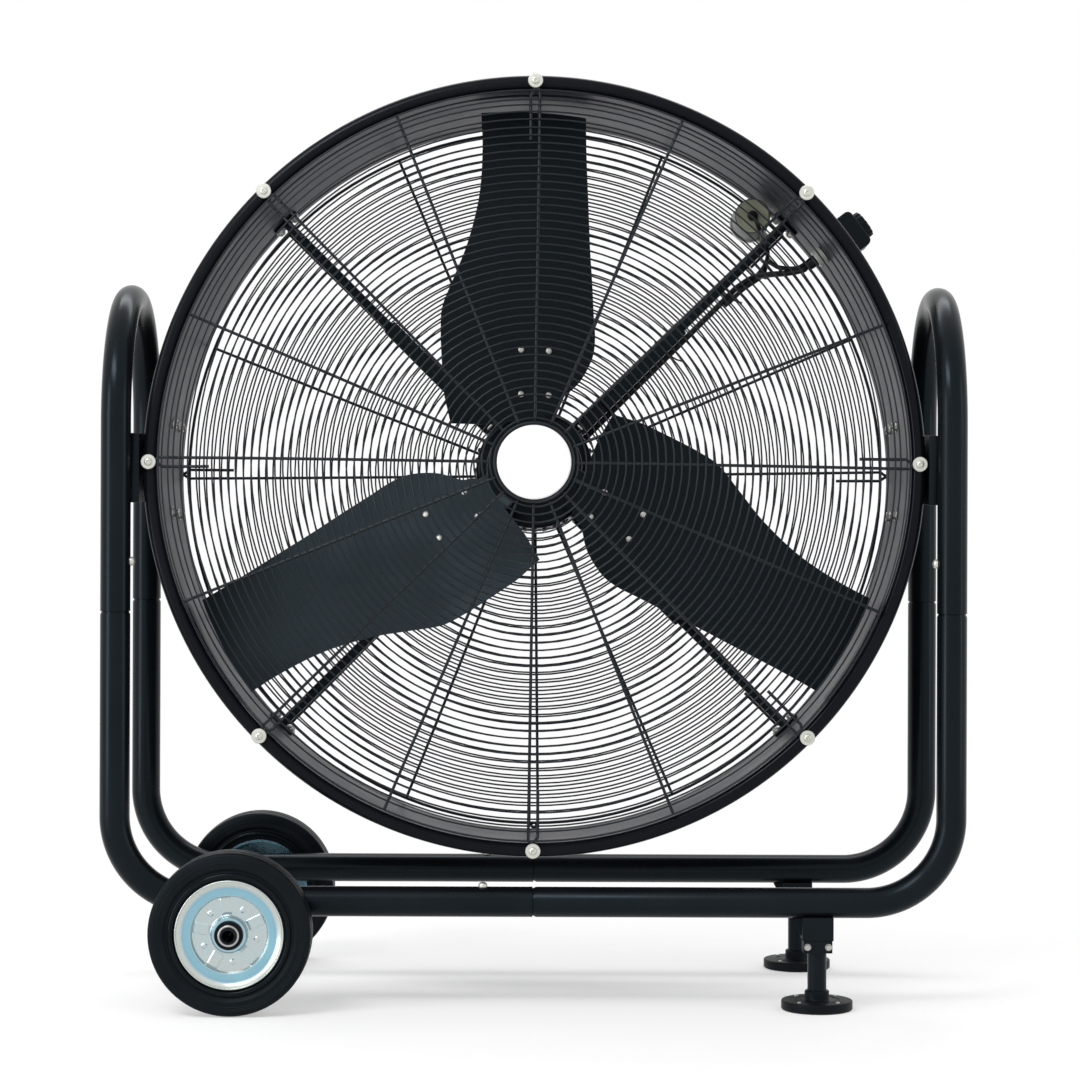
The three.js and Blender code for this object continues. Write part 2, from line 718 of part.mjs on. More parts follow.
// Washer, domed head and shank, through the guard's eye into the drum's rolled edge.
function guardScrew() {
  const seat = frontGuardFace - seatGap;
  const top = seat - guardWasherThickness;
  const face = top - guardScrewHead;
  return turned([[0, face], [guardScrewHeadRadius - guardScrewRound, face],
    [guardScrewHeadRadius, face + guardScrewRound], [guardScrewHeadRadius, top], [guardWasherRadius, top],
    [guardWasherRadius, seat], [guardScrewRadius, seat], [guardScrewRadius, guardScrewTip],
    [0, guardScrewTip]], screwSides);
}

function badge() {
  const seat = frontGuardFace - seatGap - frontDome;
  const face = seat - badgeThickness;
  return turned([[0, face], [badgeRadius - badgeRound, face], [badgeRadius, seat - overrun],
    [badgeRadius, seat], [0, seat]], wheelSides);
}

// ---- Motor and struts ----

function motor() {
  const shield = motorRadius - bellStep;
  const nose = motorRadius / 2;
  const bore = shaftRadius + boreGap;
  return turned([[bore, motorFront], [nose, motorFront], [shield, motorFront + motorBell],
    [motorRadius, motorFront + motorBell], [motorRadius, motorRear - motorBell],
    [shield, motorRear - motorBell], [nose, motorRear], [0, motorRear],
    [0, motorFront + shaftSink + seatGap], [bore, motorFront + shaftSink + seatGap]], wheelSides);
}

// A foot on the motor, a thick sleeve, a thin bar out of it and a foot on the drum's wall.
function strut() {
  const piece = (from, to, halfDepth, halfWidth) => box([from, strutPlane - halfDepth, -halfWidth],
    [to, strutPlane + halfDepth, halfWidth]);
  const motorSeat = motorRadius + seatGap;
  const sleeve = sleeveWidth / 2;
  return join(
    piece(motorSeat, motorSeat + strutFootThickness, strutMotorFoot / 2, sleeve),
    piece(motorSeat + overrun, sleeveEnd, sleeve, sleeve),
    piece(sleeveEnd - overrun, wallFlat - overrun, strutWidth / 2, strutWidth / 2),
    piece(wallFlat - strutFootThickness, wallFlat, strutFootWidth / 2, strutFootWidth / 2),
  );
}

// ---- Capacitor, switch box, gland and cable ----
const capacitorPlace = (geometry) => swing(geometry.translate(capacitorCircle, 0, 0), capacitorAngle);

function capacitor() {
  const end = capacitorFront + capacitorLength;
  return capacitorPlace(turned([[0, capacitorFront], [capacitorRadius - capacitorRound, capacitorFront],
    [capacitorRadius, capacitorFront + capacitorRound], [capacitorRadius, end], [0, end]], holeSides));
}

// A band round the capacitor with a foot against the nearest strut.
function capacitorClip() {
  const bore = capacitorRadius + boreGap;
  const half = clipWidth / 2;
  const [from, to] = [strutPlane - half, strutPlane + half];
  const band = capacitorPlace(bar('y', from, to, bore + clipThickness, holeSides, bore));
  const lean = radians(capacitorAngle - strutAngles.upper_right);
  const reach = capacitorCircle * Math.cos(lean);
  const across = capacitorCircle * Math.sin(lean);
  const foot = box([reach - clipFoot / 2, from, strutWidth / 2 + seatGap],
    [reach + clipFoot / 2, to, across - bore - clipThickness / 4]);
  return join(band, swing(foot, strutAngles.upper_right));
}

const switchBase = drumRadius + seatGap;

// An open-bottomed box on the drum, rounded at its outer edges, with a hole for the spindle.
function switchBox() {
  const half = switchWidth / 2;
  const rounded = new THREE.Shape();
  rounded.moveTo(switchBase, -half);
  rounded.lineTo(switchTop - switchCorner, -half);
  rounded.absarc(switchTop - switchCorner, switchCorner - half, switchCorner, -Math.PI / 2, 0);
  rounded.absarc(switchTop - switchCorner, half - switchCorner, switchCorner, 0, Math.PI / 2);
  rounded.lineTo(switchBase, half);
  const cornerSteps = 3;
  const options = { depth: switchLength, bevelEnabled: false, curveSegments: cornerSteps };
  const body = new THREE.ExtrudeGeometry(rounded, options)
    .translate(0, 0, -switchLength / 2).rotateX(Math.PI / 2);
  const hollow = box([switchBase - overrun, switchWall - switchLength / 2, switchWall - half],
    [switchTop - switchWall, switchLength / 2 - switchWall, half - switchWall]);
  const spindleHole = bar('x', switchTop - switchWall - overrun, switchTop + overrun,
    spindleRadius + boreGap, tubeSides);
  return swing(cut(body, hollow, spindleHole).translate(0, switchPlane, 0), switchAngle);
}

// A ribbed knob on a spindle.
function switchKnob() {
  const rim = Array.from({ length: 4 * knobRibs }, (_, i) => {
    const radius = i % 4 < 2 ? knobRadius : knobRadius - knobRibDepth;
    const angle = (i * Math.PI) / (2 * knobRibs);
    return new THREE.Vector2(radius * Math.cos(angle), radius * Math.sin(angle));
  });
  const seat = switchTop + seatGap;
  const head = slab(outline(rim), knobHeight).rotateY(Math.PI / 2).translate(seat, 0, 0);
  const spindle = bar('x', switchTop - spindleSink, seat + overrun, spindleRadius, tubeSides);
  return swing(join(head, spindle).translate(0, switchPlane, 0), switchAngle);
}

const glandInner = wallFlat - glandLength;

// Hex body inside the wall, shank through the wall into the switch box, bore for the cable.
function cableGland() {
  const body = bar('x', glandInner, wallFlat, glandRadius, 6);
  const end = drumRadius + glandShankSink;
  const shank = bar('x', wallFlat - overrun, end, glandShank, tubeSides);
  const bore = bar('x', glandInner - overrun, end + overrun, cableRadius + boreGap, tubeSides);
  return swing(cut(join(body, shank), bore).translate(0, switchPlane, 0), switchAngle);
}

// From inside the gland round to the upper right strut and along its lower side to the motor.
function motorCable() {
  const strutAngle = strutAngles.upper_right;
  const polar = (radius, degrees, y) => vec(radius * Math.cos(radians(degrees)), y,
    radius * Math.sin(radians(degrees)));
  const beside = -(sleeveWidth / 2 + cableRadius + boreGap);
  const onStrut = (reach) => {
    const angle = radians(strutAngle);
    return vec(reach * Math.cos(angle) - beside * Math.sin(angle), strutPlane,
      reach * Math.sin(angle) + beside * Math.cos(angle));
  };
  // Inwards of the gland: distance from it, degrees towards the strut, share of the way back.
  const bend = [[26, 1.4, 0.163], [42, 3.4, 0.488], [56, 5, 0.814]].map(([inwards, turn, back]) =>
    polar(glandInner - inwards, switchAngle + turn, switchPlane + (strutPlane - switchPlane) * back));
  const route = new THREE.CatmullRomCurve3([
    ...[wallFlat - cableSink, glandInner + cableRadius * 2, glandInner, glandInner - cableRadius * 2]
      .map((radius) => polar(radius, switchAngle, switchPlane)),
    ...bend, ...[80, 100, 150].map((inwards) => onStrut(glandInner - inwards)),
    onStrut((motorRadius + sleeveEnd) / 2), onStrut(motorRadius + strutFootWidth),
    onStrut(motorRadius)], false, 'centripetal');
  return new THREE.ExtrudeGeometry(outline(circle(cableRadius, screwSides)),
    { steps: 36, extrudePath: route, bevelEnabled: false });
}

// ---- Rotor ----
const motorShaft = () => bar('y', fanPlane - bossFront - shaftEnd, motorFront + shaftSink, shaftRadius,
  holeSides);

// Boss, plate and three arms that lie behind the blades at their pitch.
function rotorHub() {
  const arm = (index) => {
    const near = bladeThickness / 2 + seatGap;
    const blank = box([bossOuter / 2, near, -armWidth / 2], [armReach, near + armThickness, armWidth / 2]);
    return swing(blank.rotateX(radians(bladeRootPitch)).translate(0, fanPlane, 0), bladeAngle(index));
  };
  const boss = bar('y', fanPlane - bossFront, fanPlane + bossBack, bossOuter, wheelSides);
  const plate = bar('y', fanPlane - hubPlate / 2, fanPlane + hubPlate / 2, hubRadius, wheelSides);
  const bore = bar('y', fanPlane - bossFront - overrun, fanPlane + bossBack + overrun,
    shaftRadius + boreGap, holeSides);
  return cut(join(boss, plate, arm(0), arm(1), arm(2)), bore);
}

const bladeAngle = (index) => 90 + (index * 360) / bladeCount;

// Edges of the blade, seen from the front: [share of the way out, trailing edge, leading edge].
const bladeRoot = hubRadius - bladeRootDip;
const bladeStations = [[0, -108, -70], [0.034, -111, 18], [0.087, -116, 34], [0.143, -118, 58],
  [0.22, -120, 75], [0.286, -121, 79], [0.366, -119, 77], [0.464, -104, 75], [0.575, -87, 72],
  [0.721, -73, 69.5], [0.867, -69, 67], [1, -71, 66]]
  .map(([share, ...edges]) => [bladeRoot + (bladeTipRadius - bladeRoot) * share, ...edges]);
const chordSteps = 4;

// A pressed sheet: flat at its arm, then less pitch and more camber towards the tip.
function blade(index) {
  const positions = [];
  const faces = [];
  const rows = bladeStations.length;
  const columns = chordSteps + 1;
  for (const face of [-1, 1]) {
    for (const [reach, trailing, leading] of bladeStations) {
      const out = Math.max(0, (reach - bladeFlatRadius) / (bladeTipRadius - bladeFlatRadius));
      const pitch = radians(bladeRootPitch + (bladeTipPitch - bladeRootPitch) * out);
      for (let step = 0; step < columns; step += 1) {
        const share = step / chordSteps;
        const across = trailing + (leading - trailing) * share;
        const limit = Math.sqrt(bladeTipRadius ** 2 - across ** 2);
        const camber = bladeCamber * out * (1 - (2 * share - 1) ** 2);
        const depth = fanPlane + across * Math.tan(pitch) + camber
          + (face * bladeThickness) / 2 / Math.cos(pitch);
        positions.push(Math.min(reach, limit), depth, -across);
      }
    }
  }
  const at = (face, row, step) => (face * rows + row) * columns + step;
  const quad = (a, b, c, d) => faces.push(a, b, c, a, c, d);
  for (let row = 0; row < rows - 1; row += 1) {
    for (let step = 0; step < chordSteps; step += 1) {
      quad(at(0, row, step), at(0, row, step + 1), at(0, row + 1, step + 1), at(0, row + 1, step));
      quad(at(1, row, step), at(1, row + 1, step), at(1, row + 1, step + 1), at(1, row, step + 1));
    }
    const end = chordSteps;
    quad(at(0, row, 0), at(0, row + 1, 0), at(1, row + 1, 0), at(1, row, 0));
    quad(at(0, row + 1, end), at(0, row, end), at(1, row, end), at(1, row + 1, end));
  }
  for (let step = 0; step < chordSteps; step += 1) {
    quad(at(0, 0, step + 1), at(0, 0, step), at(1, 0, step), at(1, 0, step + 1));
    const last = rows - 1;
    quad(at(0, last, step), at(0, last, step + 1), at(1, last, step + 1), at(1, last, step));
  }
  const geometry = new THREE.BufferGeometry();
  geometry.setAttribute('position', new THREE.BufferAttribute(new Float32Array(positions), 3));
  geometry.setIndex(faces);
  return swing(geometry, bladeAngle(index));
}

function addDrum() {
  add(drum, 'drum_shell', drumShell(), drumPaint());
  add(drum, 'left_pivot_plate', pivotPlate(-1), paint());
  add(drum, 'right_pivot_plate', pivotPlate(1), paint());
  add(drum, 'front_guard', frontGuard(), wire());
  add(drum, 'rear_guard', rearGuard(), wire());
  guardScrewPlaces((place) => guardScrew().translate(place, 0, 0))
    .forEach((geometry, i) => add(drum, `guard_screw_${i + 1}`, geometry, steel()));
  add(drum, 'badge', badge(), whitePlastic());
  for (const [name, angle] of Object.entries(strutAngles)) {
    add(drum, `${name}_strut`, swing(strut(), angle), paint());
  }
  add(drum, 'motor', motor(), paint());
  add(drum, 'capacitor', capacitor(), capacitorPlastic());
  add(drum, 'capacitor_clip', capacitorClip(), steel());
  add(drum, 'switch_box', switchBox(), blackPlastic());
  add(drum, 'switch_knob', switchKnob(), blackPlastic());
  add(drum, 'cable_gland', cableGland(), greyPlastic());
  add(drum, 'motor_cable', motorCable(), cableJacket());
}

function addRotor() {
  add(drum, 'motor_shaft', motorShaft(), steel());
  add(drum, 'rotor_hub', rotorHub(), paint());
  for (let index = 0; index < bladeCount; index += 1) {
    add(drum, `blade_${index + 1}`, blade(index), bladePaint());
  }
}

addTubes();
addCrossbars();
addWheels();
addFeet();
addDrum();
addRotor();

export default fan;
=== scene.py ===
import json
import math

import bmesh
import bpy
import numpy as np
from mathutils import Matrix, Vector

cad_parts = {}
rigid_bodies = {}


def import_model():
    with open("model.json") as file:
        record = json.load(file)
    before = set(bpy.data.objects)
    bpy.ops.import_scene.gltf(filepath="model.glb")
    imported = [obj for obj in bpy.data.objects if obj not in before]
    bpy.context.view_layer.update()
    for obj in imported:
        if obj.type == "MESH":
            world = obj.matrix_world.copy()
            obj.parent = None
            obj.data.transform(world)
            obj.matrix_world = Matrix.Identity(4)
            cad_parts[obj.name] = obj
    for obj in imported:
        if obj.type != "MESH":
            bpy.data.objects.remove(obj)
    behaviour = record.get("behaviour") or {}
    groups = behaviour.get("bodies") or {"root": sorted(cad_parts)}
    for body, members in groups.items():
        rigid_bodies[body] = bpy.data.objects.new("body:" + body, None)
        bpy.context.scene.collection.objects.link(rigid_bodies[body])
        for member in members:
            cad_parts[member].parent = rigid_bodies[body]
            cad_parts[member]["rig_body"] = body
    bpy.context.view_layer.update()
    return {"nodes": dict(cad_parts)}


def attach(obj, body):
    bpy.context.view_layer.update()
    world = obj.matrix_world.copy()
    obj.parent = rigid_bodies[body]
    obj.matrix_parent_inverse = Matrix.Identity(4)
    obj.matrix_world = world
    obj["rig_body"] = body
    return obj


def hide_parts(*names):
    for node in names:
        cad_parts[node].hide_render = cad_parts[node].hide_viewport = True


# A wheeled drum fan: tilting drum with a three-blade rotor, in a stand of bent tube.
# Metres. +X to the right, +Y to the back, +Z up.

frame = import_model()

MM = 0.001

# ---- Stand ----
TUBE_RADIUS = 0.019
TUBE_WALL = 0.0016
LEG_X = 0.528
LEG_Y = 0.163
RAIL_Z = 0.134
CORNER_RADIUS = 0.107
JOINT_Z = 0.499
ARCH_Z = 0.736
SWAGE = 0.004
SEAT_GAP = 0.0003

# ---- Pivot ----
PIVOT = np.array([0.0, 0.041, 0.676])
TILT = math.radians(3.4)
CROSSBAR_INNER = 0.4996

# ---- Wheels and feet ----
WHEEL_RADIUS = 0.102
WHEEL_WIDTH = 0.05
WHEEL_X = -0.376
WHEEL_Y = LEG_Y + 0.0535
AXLE_RADIUS = 0.010
RIM_RADIUS = 0.068
FOOT_X = 0.359
FOOT_RADIUS = 0.045
FOOT_THICKNESS = 0.012
POST_RADIUS = 0.012

# ---- Drum, in its own frame: Y is its axis, the pivot is its origin ----
DRUM_RADIUS = 0.480
DRUM_WALL = 0.002
DRUM_FRONT = -0.192
DRUM_REAR = 0.126
BEAD = 0.016
SCREW_CIRCLE = 0.488

# ---- Camera, from the photograph's perspective ----
CAMERA_PLACE = (0.012, -4.263, 0.716)
CAMERA_LENS = 108.3
CAMERA_SHIFT = (-0.0035, -0.0920)
CAMERA_ROLL = math.radians(0.20)


# ---- Mesh helpers ----

def grid_faces(rows, columns, wrap_rows=False, wrap_columns=True):
    """Quads between neighbouring points of a grid of rows and columns, wrapped where asked."""
    i, j = np.meshgrid(np.arange(rows if wrap_rows else rows - 1),
                       np.arange(columns if wrap_columns else columns - 1), indexing="ij")
    i_next, j_next = (i + 1) % rows, (j + 1) % columns
    return np.stack([i * columns + j, i * columns + j_next, i_next * columns + j_next,
                     i_next * columns + j], -1).reshape(-1, 4)


def volume(points, faces):
    """Signed volume by the divergence theorem, with each face cut into a fan."""
    total = 0.0
    for block in faces:
        a = points[block[:, 0]]
        for k in range(1, block.shape[1] - 1):
            total += np.einsum("ij,ij->i", a, np.cross(points[block[:, k]], points[block[:, k + 1]])).sum()
    return total / 6


def outward(points, faces):
    """The same closed surface with its faces turned to the outside."""
    if volume(points - points.mean(0), faces) < 0:
        faces = [block[:, ::-1] for block in faces]
    return points, faces


def moved(shape, turn=None, shift=(0, 0, 0)):
    points, faces = shape
    if turn is not None:
        points = points @ np.asarray(turn).T
    return points + np.asarray(shift), faces


def revolve(profile, segments, wrap=True):
    """A profile of (radius, place along Y) carried round the Y axis: x = r sin a, z = r cos a.
    A wrapped profile is a ring section, an open one starts and ends on the axis."""
    profile = np.asarray(profile, float)
    angle = np.arange(segments) * 2 * np.pi / segments
    r, y = profile[:, :1], profile[:, 1:]
    points = np.stack([r * np.sin(angle), np.repeat(y, segments, 1), r * np.cos(angle)], -1)
    faces = grid_faces(len(profile), segments, wrap_rows=wrap)
    return outward(points.reshape(-1, 3), [faces])


def pipe(centres, tangents, radii, sides, normal=None, wrap=False):
    """Circles of the given radii, square to a path: centre + r (n cos a + b sin a). In a plane, n is the
    plane's normal; otherwise n is carried along by removing its part along each tangent. Ends are capped."""
    centres, tangents = np.asarray(centres, float), np.asarray(tangents, float)
    tangents = tangents / np.linalg.norm(tangents, axis=1, keepdims=True)
    if normal is None:
        side = np.cross(tangents[0], [0.3, 0.5, 0.81])
        normals = []
        for t in tangents:
            side = side - t * side.dot(t)
            side = side / np.linalg.norm(side)
            normals.append(side)
        normals = np.array(normals)
    else:
        normals = np.tile(np.asarray(normal, float), (len(centres), 1))
    binormals = np.cross(tangents, normals)
    angle = np.arange(sides) * 2 * np.pi / sides
    radii = np.broadcast_to(radii, len(centres)).reshape(-1, 1, 1)
    circle = (normals[:, None] * np.cos(angle)[None, :, None]
              + binormals[:, None] * np.sin(angle)[None, :, None])
    points = (centres[:, None] + radii * circle).reshape(-1, 3)
    faces = [grid_faces(len(centres), sides, wrap_rows=wrap)]
    if not wrap:
        first = np.arange(sides)[None, ::-1]
        faces += [first, first[:, ::-1] + (len(centres) - 1) * sides]
    return outward(points, faces)


def spline(points, per_span=12):
    """A Catmull-Rom curve through the points, and its tangents."""
    p = np.asarray(points, float)
    p = np.vstack([2 * p[0] - p[1], p, 2 * p[-1] - p[-2]])
    t = np.linspace(0, 1, per_span, endpoint=False)[:, None]
    out = []
    for i in range(1, len(p) - 2):
        a, b, c, d = p[i - 1:i + 3]
        out.append(0.5 * (2 * b + (c - a) * t + (2 * a - 5 * b + 4 * c - d) * t ** 2
                          + (3 * b - a - 3 * c + d) * t ** 3))
    curve = np.vstack(out + [p[-2][None]])
    return curve, np.gradient(curve, axis=0)


def turn_from_y(axis):
    """The rotation that takes +Y to the axis."""
    axis = np.asarray(axis, float) / np.linalg.norm(axis)
    helper = np.array([0, 0, 1.0]) if abs(axis[2]) < 0.9 else np.array([1.0, 0, 0])
    side = np.cross(axis, helper)
    side /= np.linalg.norm(side)
    return np.stack([side, axis, np.cross(side, axis)], 1)


def aimed(shape, at, axis):
    return moved(shape, turn_from_y(axis), at)


def tilted(shape):
    """From the drum's own frame to the row frame."""
    c, s = math.cos(TILT), math.sin(TILT)
    return moved(shape, [[1, 0, 0], [0, c, s], [0, -s, c]], PIVOT)


def swung(shape, degrees):
    """Turned about Y, from the right-hand side up by an angle."""
    a = math.radians(degrees)
    return moved(shape, [[math.cos(a), 0, -math.sin(a)], [0, 1, 0], [math.sin(a), 0, math.cos(a)]])


def mesh_of(name, shapes, weld):
    """One mesh from closed shapes, shaded smooth."""
    mesh = bpy.data.meshes.new(name)
    points, starts, corners, offset, loops = [], [], [], 0, 0
    for shape_points, faces in shapes:
        points.append(shape_points)
        for block in faces:
            corners.append((block + offset).reshape(-1))
            starts.append(loops + np.arange(len(block)) * block.shape[1])
            loops += block.size
        offset += len(shape_points)
    points, starts, corners = np.concatenate(points), np.concatenate(starts), np.concatenate(corners)
    mesh.vertices.add(len(points))
    mesh.vertices.foreach_set("co", points.astype(np.float32).reshape(-1))
    mesh.loops.add(len(corners))
    mesh.loops.foreach_set("vertex_index", corners.astype(np.int32))
    mesh.polygons.add(len(starts))
    mesh.polygons.foreach_set("loop_start", starts.astype(np.int32))
    mesh.update(calc_edges=True)
    if weld:
        merged = bmesh.new()
        merged.from_mesh(mesh)
        bmesh.ops.remove_doubles(merged, verts=merged.verts, dist=1e-6)
        bmesh.ops.dissolve_degenerate(merged, edges=merged.edges, dist=1e-7)
        merged.to_mesh(mesh)
        merged.free()
    mesh.polygons.foreach_set("use_smooth", np.ones(len(mesh.polygons), bool))
    mesh.validate()
    return mesh


def finish_piece(obj, body, material, stands_for, sharp):
    obj.data.materials.clear()
    obj.data.materials.append(material)
    if sharp:
        obj.data.set_sharp_from_angle(angle=math.radians(sharp))
    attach(obj, body)
    if stands_for:
        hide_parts(*stands_for)
    return obj


def piece(name, shapes, body, material, stands_for=(), sharp=35, weld=True):
    obj = bpy.data.objects.new(name, mesh_of(name, shapes, weld))
    bpy.context.scene.collection.objects.link(obj)
    return finish_piece(obj, body, material, stands_for, sharp)


def round_edges(obj, width, segments=3, angle=32):
    """Rounds a piece's sharp edges with a live modifier."""
    rounding = obj.modifiers.new("round_edges", "BEVEL")
    rounding.width = width
    rounding.segments = segments
    rounding.limit_method = "ANGLE"
    rounding.angle_limit = math.radians(angle)
    rounding.harden_normals = True
    return obj


def softened(name, node, material, bevel):
    """A merged copy of a CAD node's mesh, its flat faces joined and its edges rounded, in the node's place."""
    source = frame["nodes"][node]
    copy = bmesh.new()
    copy.from_mesh(source.data)
    bmesh.ops.remove_doubles(copy, verts=copy.verts, dist=2e-6)
    bmesh.ops.dissolve_limit(copy, angle_limit=math.radians(1), verts=copy.verts, edges=copy.edges)
    mesh = bpy.data.meshes.new(name)
    copy.to_mesh(mesh)
    copy.free()
    mesh.polygons.foreach_set("use_smooth", np.ones(len(mesh.polygons), bool))
    obj = bpy.data.objects.new(name, mesh)
    bpy.context.scene.collection.objects.link(obj)
    round_edges(obj, bevel)
    return finish_piece(obj, source["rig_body"], material, [node], 0)


def block(low, high):
    """A closed box between two corners."""
    low, high = np.asarray(low, float), np.asarray(high, float)
    unit = np.array([[i, j, k] for i in (0, 1) for j in (0, 1) for k in (0, 1)], float)
    faces = np.array([[0, 1, 3, 2], [4, 6, 7, 5], [0, 4, 5, 1], [2, 3, 7, 6], [0, 2, 6, 4], [1, 5, 7, 3]])
    return outward(low + unit * (high - low), [faces])


def prism(section, start, end):
    """An outline of (x, z) points carried along Y."""
    section = np.asarray(section, float)
    rows = np.array([[x, y, z] for y in (start, end) for x, z in section])
    count = len(section)
    ends = np.arange(count)[None]
    return outward(rows, [grid_faces(2, count), ends[:, ::-1], ends + count])


def arc_points(centre, radius, start, end, count, squeeze=1.0):
    """Points on an arc in a plane of two coordinates, by angle in degrees; squeeze scales the second."""
    a = np.radians(np.linspace(start, end, count))
    return [(centre[0] + radius * np.cos(t), centre[1] + radius * squeeze * np.sin(t)) for t in a]


def smooth_step(t):
    t = np.clip(t, 0, 1)
    return t * t * (3 - 2 * t)


def hexagon(radius, height, dome=0.0006):
    """A hexagon head along +Y from zero, with a chamfered top."""
    sides = 6
    angle = np.arange(sides) * np.pi / 3
    rows = [(radius, 0), (radius, height - dome), (radius * 0.9, height)]
    points = np.array([[r * np.sin(a), y, r * np.cos(a)] for r, y in rows for a in angle])
    last = np.arange(sides)[None] + 2 * sides
    return outward(points, [grid_faces(3, sides), np.arange(sides)[None, ::-1], last])


def pan_head(radius, height, segments=20):
    """A low domed screw head along +Y from zero: an elliptical arc on a straight rim."""
    rim = 0.35 * height
    arc = [(radius * math.cos(t), rim + (height - rim) * math.sin(t)) for t in np.linspace(0, np.pi / 2, 7)]
    return revolve([(0, 0), (radius, 0)] + arc[:-1] + [(0, height)], segments, wrap=False)


# ---- Materials ----

class Tree:
    """Short calls for shader nodes: a socket given as a value is linked, anything else is set."""

    def __init__(self, tree):
        self.tree = tree

    def add(self, kind, inputs=None, **settings):
        made = self.tree.nodes.new(kind if kind.startswith("NodeGroup") else "ShaderNode" + kind)
        for key, value in settings.items():
            setattr(made, key, value)
        return self.fill(made, (inputs or {}).items())

    def fill(self, made, values):
        for key, value in values:
            if isinstance(value, bpy.types.NodeSocket):
                self.tree.links.new(value, made.inputs[key])
            else:
                made.inputs[key].default_value = value
        return made

    def noise(self, scale, detail=2.0, roughness=0.5, stretch=None):
        place = self.add("TexCoord").outputs["Object"]
        if stretch:
            place = self.add("Mapping", {"Vector": place, "Scale": stretch}).outputs[0]
        return self.add("TexNoise", {"Vector": place, "Scale": scale, "Detail": detail,
                                     "Roughness": roughness}).outputs["Fac"]

    def spread(self, value, low, high, to_low, to_high):
        return self.add("MapRange", {"Value": value, "From Min": low, "From Max": high, "To Min": to_low,
                                     "To Max": to_high}).outputs[0]

    def mix(self, factor, first, second):
        made = self.add("Mix", data_type="RGBA")
        return self.fill(made, ((0, factor), (6, first), (7, second))).outputs[2]

    def math(self, operation, first, second):
        return self.fill(self.add("Math", operation=operation), enumerate((first, second))).outputs[0]


def new_group(name, inputs, outputs):
    tree = bpy.data.node_groups.new(name, "ShaderNodeTree")
    for title, value in inputs.items():
        tree.interface.new_socket(title, in_out="INPUT", socket_type="NodeSocketFloat").default_value = value
    for title, kind in outputs.items():
        tree.interface.new_socket(title, in_out="OUTPUT", socket_type=kind)
    t = Tree(tree)
    start, end = tree.nodes.new("NodeGroupInput"), tree.nodes.new("NodeGroupOutput")
    return t, start.outputs, lambda title, socket: tree.links.new(socket, end.inputs[title])


def make_grain():
    """Fine unevenness: two sizes of noise as a bump."""
    t, given, out = new_group("grain", {"Scale": 900.0, "Depth": 0.00004}, {"Normal": "NodeSocketVector"})
    fine = t.noise(given["Scale"], 2.0)
    coarse = t.noise(t.math("MULTIPLY", given["Scale"], 0.18), 1.0)
    height = t.math("ADD", t.math("MULTIPLY", fine, 0.6), t.math("MULTIPLY", coarse, 0.8))
    bump = t.add("Bump", {"Height": height, "Distance": given["Depth"], "Strength": 1.0})
    out("Normal", bump.outputs[0])
    return t.tree


def make_handling():
    """Where a surface is a little duller: broad soft patches with fine specks of dust, from 0 to 1."""
    t, given, out = new_group("handling", {"Scale": 9.0}, {"Patches": "NodeSocketFloat", "Dust": "NodeSocketFloat"})
    broad = t.spread(t.noise(given["Scale"], 4.0, 0.6), 0.38, 0.68, 0.0, 1.0)
    specks = t.spread(t.noise(t.math("MULTIPLY", given["Scale"], 90.0), 3.0, 0.7), 0.62, 0.78, 0.0, 1.0)
    out("Patches", broad)
    out("Dust", t.math("MULTIPLY", specks, broad))
    return t.tree


GRAIN, HANDLING = make_grain(), make_handling()


def finish(name, colour, roughness, metallic=0.0, second=None, shift=0.06, grain=(900.0, 0.00004),
           patches=9.0, specular=0.5, tint=(1, 1, 1), dust=0.25, zones=()):
    """A surface with its own colour variation, roughness patches and fine bump. A zone is an attribute of
    the mesh, from 0 to 1, with the colour and the roughness shift that hold where it is 1."""
    material = bpy.data.materials.new(name)
    material.use_nodes = True
    tree = material.node_tree
    tree.nodes.clear()
    t = Tree(tree)
    shader = t.add("BsdfPrincipled", {"Metallic": metallic, "Specular IOR Level": specular,
                                      "Specular Tint": (*tint, 1)})
    patch = t.add("Group", node_tree=HANDLING)
    patch.inputs["Scale"].default_value = patches
    bump = t.add("Group", node_tree=GRAIN)
    bump.inputs["Scale"].default_value, bump.inputs["Depth"].default_value = grain
    second = second or tuple(min(1.0, c * 1.3 + 0.0008) for c in colour)
    base = t.mix(patch.outputs["Patches"], (*colour, 1), (*second, 1))
    rough = t.spread(patch.outputs["Patches"], 0.0, 1.0, roughness - shift, roughness + shift)
    for title, zone_colour, zone_shift in zones:
        mask = t.add("Attribute", attribute_name=title).outputs["Fac"]
        base = t.mix(mask, base, (*zone_colour, 1))
        rough = t.math("ADD", rough, t.math("MULTIPLY", mask, zone_shift))
    dusty = t.mix(t.math("MULTIPLY", patch.outputs["Dust"], dust), base, (0.32, 0.31, 0.29, 1))
    tree.links.new(dusty, shader.inputs["Base Color"])
    tree.links.new(rough, shader.inputs["Roughness"])
    tree.links.new(bump.outputs["Normal"], shader.inputs["Normal"])
    output = t.add("OutputMaterial")
    tree.links.new(shader.outputs[0], output.inputs["Surface"])
    return material


